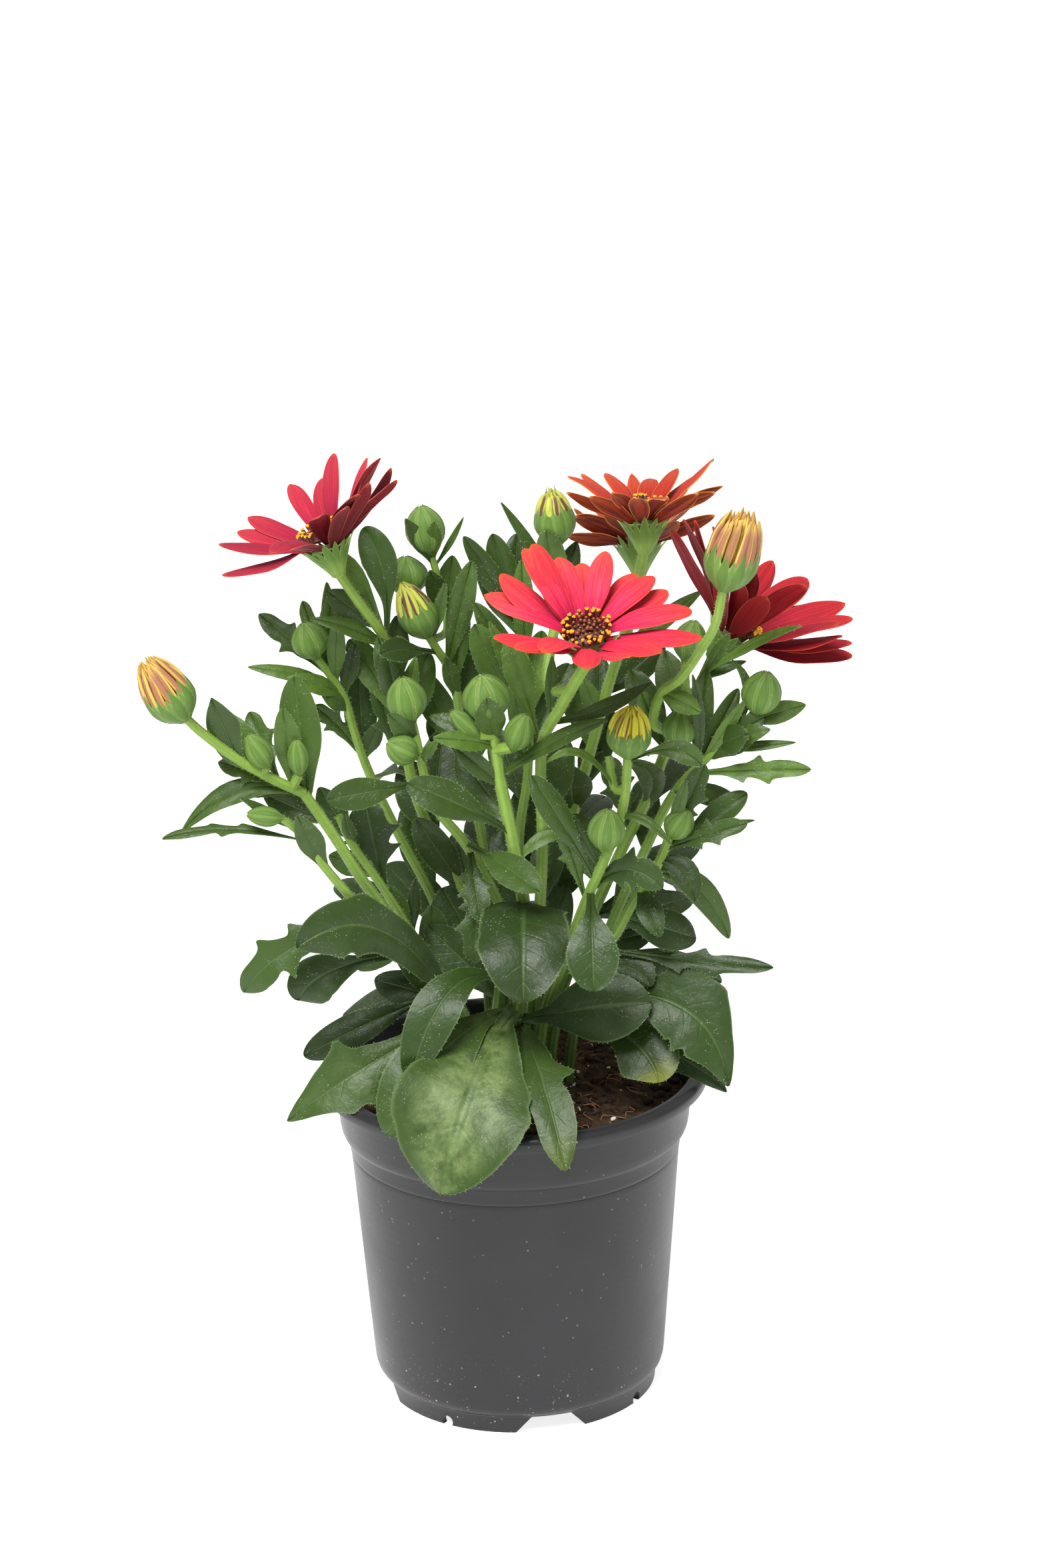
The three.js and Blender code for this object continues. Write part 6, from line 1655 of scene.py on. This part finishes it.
def make_pot():
    pot = spun("nursery_pot", POT_OUTLINE, 128, POT_PLASTIC)
    for i in range(NOTCHES):
        turn = math.radians(FIRST_NOTCH + 90 * i)
        bpy.ops.mesh.primitive_cube_add(size=1, location=(0, 0, 0))
        block = named("drain_notch")
        for corner in block.data.vertices:
            top = corner.co.z > 0
            half, z = (NOTCH_NARROW / 2, NOTCH_HIGH) if top else (NOTCH_WIDE / 2, -1)
            corner.co = (math.copysign(half, corner.co.x), -NOTCH_OUT + 8 * corner.co.y, z)
        block.data.transform(Matrix.Rotation(turn, 4, "Z"))
        bpy.ops.mesh.primitive_cylinder_add(vertices=20, radius=BAR_RADIUS, depth=12)
        bar = named("small_notch")
        bar.data.transform(Matrix.Rotation(turn + math.pi / 4, 4, "Z")
                           @ Matrix.Translation((0, -BAR_OUT, 1.1)) @ Matrix.Rotation(math.pi / 2, 4, "X"))
        bpy.ops.mesh.primitive_cylinder_add(vertices=24, radius=HOLE_RADIUS, depth=6)
        hole = named("drain_hole")
        hole.data.transform(Matrix.Rotation(turn, 4, "Z") @ Matrix.Translation((0, -HOLE_OUT, 5.6)))
        for cutter in (block, bar, hole):
            applied(pot, "BOOLEAN", operation="DIFFERENCE", object=cutter, solver="EXACT")
            bpy.data.objects.remove(cutter)
    pot.data.transform(Matrix.Scale(MM, 4))
    return pot


pot = make_pot()
select_only(pot)
bpy.ops.object.shade_smooth_by_angle(angle=math.radians(35))
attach(pot, "root")
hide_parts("pot")
print("pot:", len(pot.data.polygons), "faces")

# %% [markdown]
# ## The compost
#
# Peat compost is dark brown, crumbly and full of fibres, with white grains of perlite. The mass is
# spun like the pot. Its top is then pushed up and down by noise, and crumbs, fibres and perlite
# are strewn over it.

# %% Compost finishes
def compost_finish():
    fin = Finish("peat_compost", Roughness=0.9, Specular_IOR_Level=0.15)
    coarse = fin.spread(fin.grain(260.0, 6.0, 0.7), 0.3, 0.7)
    body = fin.blend(coarse, (0.02, 0.013, 0.008), (0.125, 0.068, 0.036))
    body = fin.blend(fin.spread(fin.grain(900.0), 0.6, 0.75), body, (0.19, 0.1, 0.05))
    fin.bump(fin.grain(900.0, 6.0, 0.7), 0.0012, 0.9)
    return fin.painted(body)


COMPOST = compost_finish()
CRUMB = Finish("peat_crumb", Base_Color=(0.045, 0.024, 0.013, 1), Roughness=0.95).material
FIBRE = Finish("reddish_fibre", Base_Color=(0.32, 0.14, 0.07, 1), Roughness=0.8).material
PERLITE = Finish("white_perlite", Base_Color=(0.72, 0.7, 0.66, 1), Roughness=0.8).material
print("compost finishes ready")

# %% The compost and what lies on it
SOIL_EDGE = 46
CRUMBS, FIBRES = 520, 150
WHITE_EVERY = 9  # one crumb in nine is a grain of perlite


def soil_height(x, y):
    slope = SOIL_TOP + SOIL_CROWN * max(0, 1 - math.hypot(x, y) / SOIL_EDGE) ** 0.8
    rough = noise.fractal(Vector((x, y, 3)) * 0.28, 1.0, 2.0, 4)
    return slope - 0.5 + 1.2 * rough


def strewn(reach, rng):
    """A random place on the compost, up to a reach from the axis."""
    r, angle = reach * math.sqrt(rng.random()), rng.uniform(0, math.tau)
    return r * math.cos(angle), r * math.sin(angle)


def compost_mass():
    rings = np.linspace(SOIL_EDGE + 0.3, 0, 40)
    outline = [(0, 6.95), (35.3, 6.95), (37.8, 10.2), (42.6, 70), (45.6, 78)] + [(r, SOIL_TOP) for r in rings]
    mass = spun("compost", outline, 120, COMPOST)
    corners = corners_of(mass)
    top = corners[:, 2] > SOIL_TOP - 0.5
    corners[top, 2] = [soil_height(x, y) for x, y, z in corners[top]]
    mass.data.vertices.foreach_set("co", (corners * MM).ravel())
    return mass


def rough_lump():
    bpy.ops.mesh.primitive_ico_sphere_add(subdivisions=2, radius=1)
    lump = named("lump")
    bumps = corners_of(lump)
    bumps *= (1 + 0.35 * np.array([noise.noise(Vector(c) * 1.7) for c in bumps]))[:, None]
    lump.data.vertices.foreach_set("co", bumps.ravel())
    lump.data.materials.append(CRUMB)
    return put_away(lump)


def make_soil(rng):
    pieces = [compost_mass()]
    lump = rough_lump()
    for i in range(CRUMBS):
        x, y = strewn(45.5, rng)
        white = i % WHITE_EVERY == 0
        size = rng.uniform(0.4, 0.95) if white else rng.uniform(0.4, 1.6)
        turn = Quaternion(Vector(rng.normal(0, 1, 3)).normalized(), rng.uniform(0, 6)).to_matrix().to_4x4()
        crumb = copy_of(lump, corners_of(lump))
        crumb.data.transform(Matrix.Translation(Vector((x, y, soil_height(x, y) + 0.3 * size)) * MM) @ turn
                             @ Matrix.Diagonal((size * MM, size * MM * 0.8, size * MM * 0.6, 1)))
        crumb.data.materials[0] = PERLITE if white else CRUMB
        pieces.append(crumb)
    for i in range(FIBRES):
        x, y = strewn(44, rng)
        z = soil_height(x, y) + 0.4
        way, far = rng.uniform(0, math.tau), rng.uniform(3, 8)
        bend = (x + far * 0.5 * math.cos(way), y + far * 0.5 * math.sin(way), z + 0.5)
        end = (x + far * math.cos(way + 0.5), y + far * math.sin(way + 0.5), z - 0.4)
        if math.hypot(*end[:2]) > 45.5:
            continue
        fibre = quill([(x, y, z), bend, end], 0.13, 0.09, FIBRE)
        fibre.data.transform(Matrix.Scale(MM, 4))
        pieces.append(fibre)
    return joined(pieces, "compost")


soil = make_soil(np.random.default_rng(5))
finished(soil, "soil")

# %% [markdown]
# ## Floor, light and camera
#
# The plant stands on a plain white floor in soft studio light. One large lamp above and to the left
# gives the leaves their shine, and the white world lights them from all round. The floor glows a
# little itself, so that no shadow shows on it. The camera has a long lens, looks down on the plant a
# little, and is turned by a touch about its own axis.

# %% Floor and light
bpy.ops.mesh.primitive_circle_add(vertices=64, radius=12, fill_type="NGON", location=(0, 0, 0))
floor = named("studio_floor")
floor.data.materials.append(Finish("white_floor", Base_Color=(0.6, 0.6, 0.6, 1), Roughness=0.9,
                                   Emission_Color=(1, 1, 1, 1), Emission_Strength=0.8).material)

world = bpy.data.worlds.new("studio")
bpy.context.scene.world = world
world.use_nodes = True
world.node_tree.nodes["Background"].inputs["Color"].default_value = (1, 1, 1, 1)
world.node_tree.nodes["Background"].inputs["Strength"].default_value = 0.5

LAMP_PLACE = Vector((-0.3, -0.75, 1.4))
LAMP_TARGET = Vector((0, 0, 0.15))
light = bpy.data.lights.new("key_lamp", "AREA")
light.shape = "DISK"
light.size = 0.8
light.energy = 30
lamp = bpy.data.objects.new("key_lamp", light)
lamp.location = LAMP_PLACE
lamp.rotation_euler = (LAMP_TARGET - LAMP_PLACE).to_track_quat("-Z", "Y").to_euler()
bpy.context.collection.objects.link(lamp)
print("lamp:", light.size, "m wide,", light.energy, "W")

# %% Camera
EYE_POINT = Vector(EYE / 1000)
LOOK_AT = Vector((0.004, 0, 0.1717))
ROLL = math.radians(-1.2)
camera = bpy.data.objects.new("camera", bpy.data.cameras.new("camera"))
bpy.context.collection.objects.link(camera)
camera.location = EYE_POINT
camera.rotation_mode = "QUATERNION"
camera.rotation_quaternion = (LOOK_AT - EYE_POINT).to_track_quat("-Z", "Y") @ Quaternion((0, 0, 1), ROLL)
camera.data.sensor_width = 36
camera.data.lens = 103.97
camera.data.clip_end = 20
bpy.context.scene.camera = camera
bpy.context.scene.view_settings.view_transform = "Standard"
print("lens:", round(camera.data.lens, 1), "mm")

# %% [markdown]

# %% End
print("the plant is dressed")
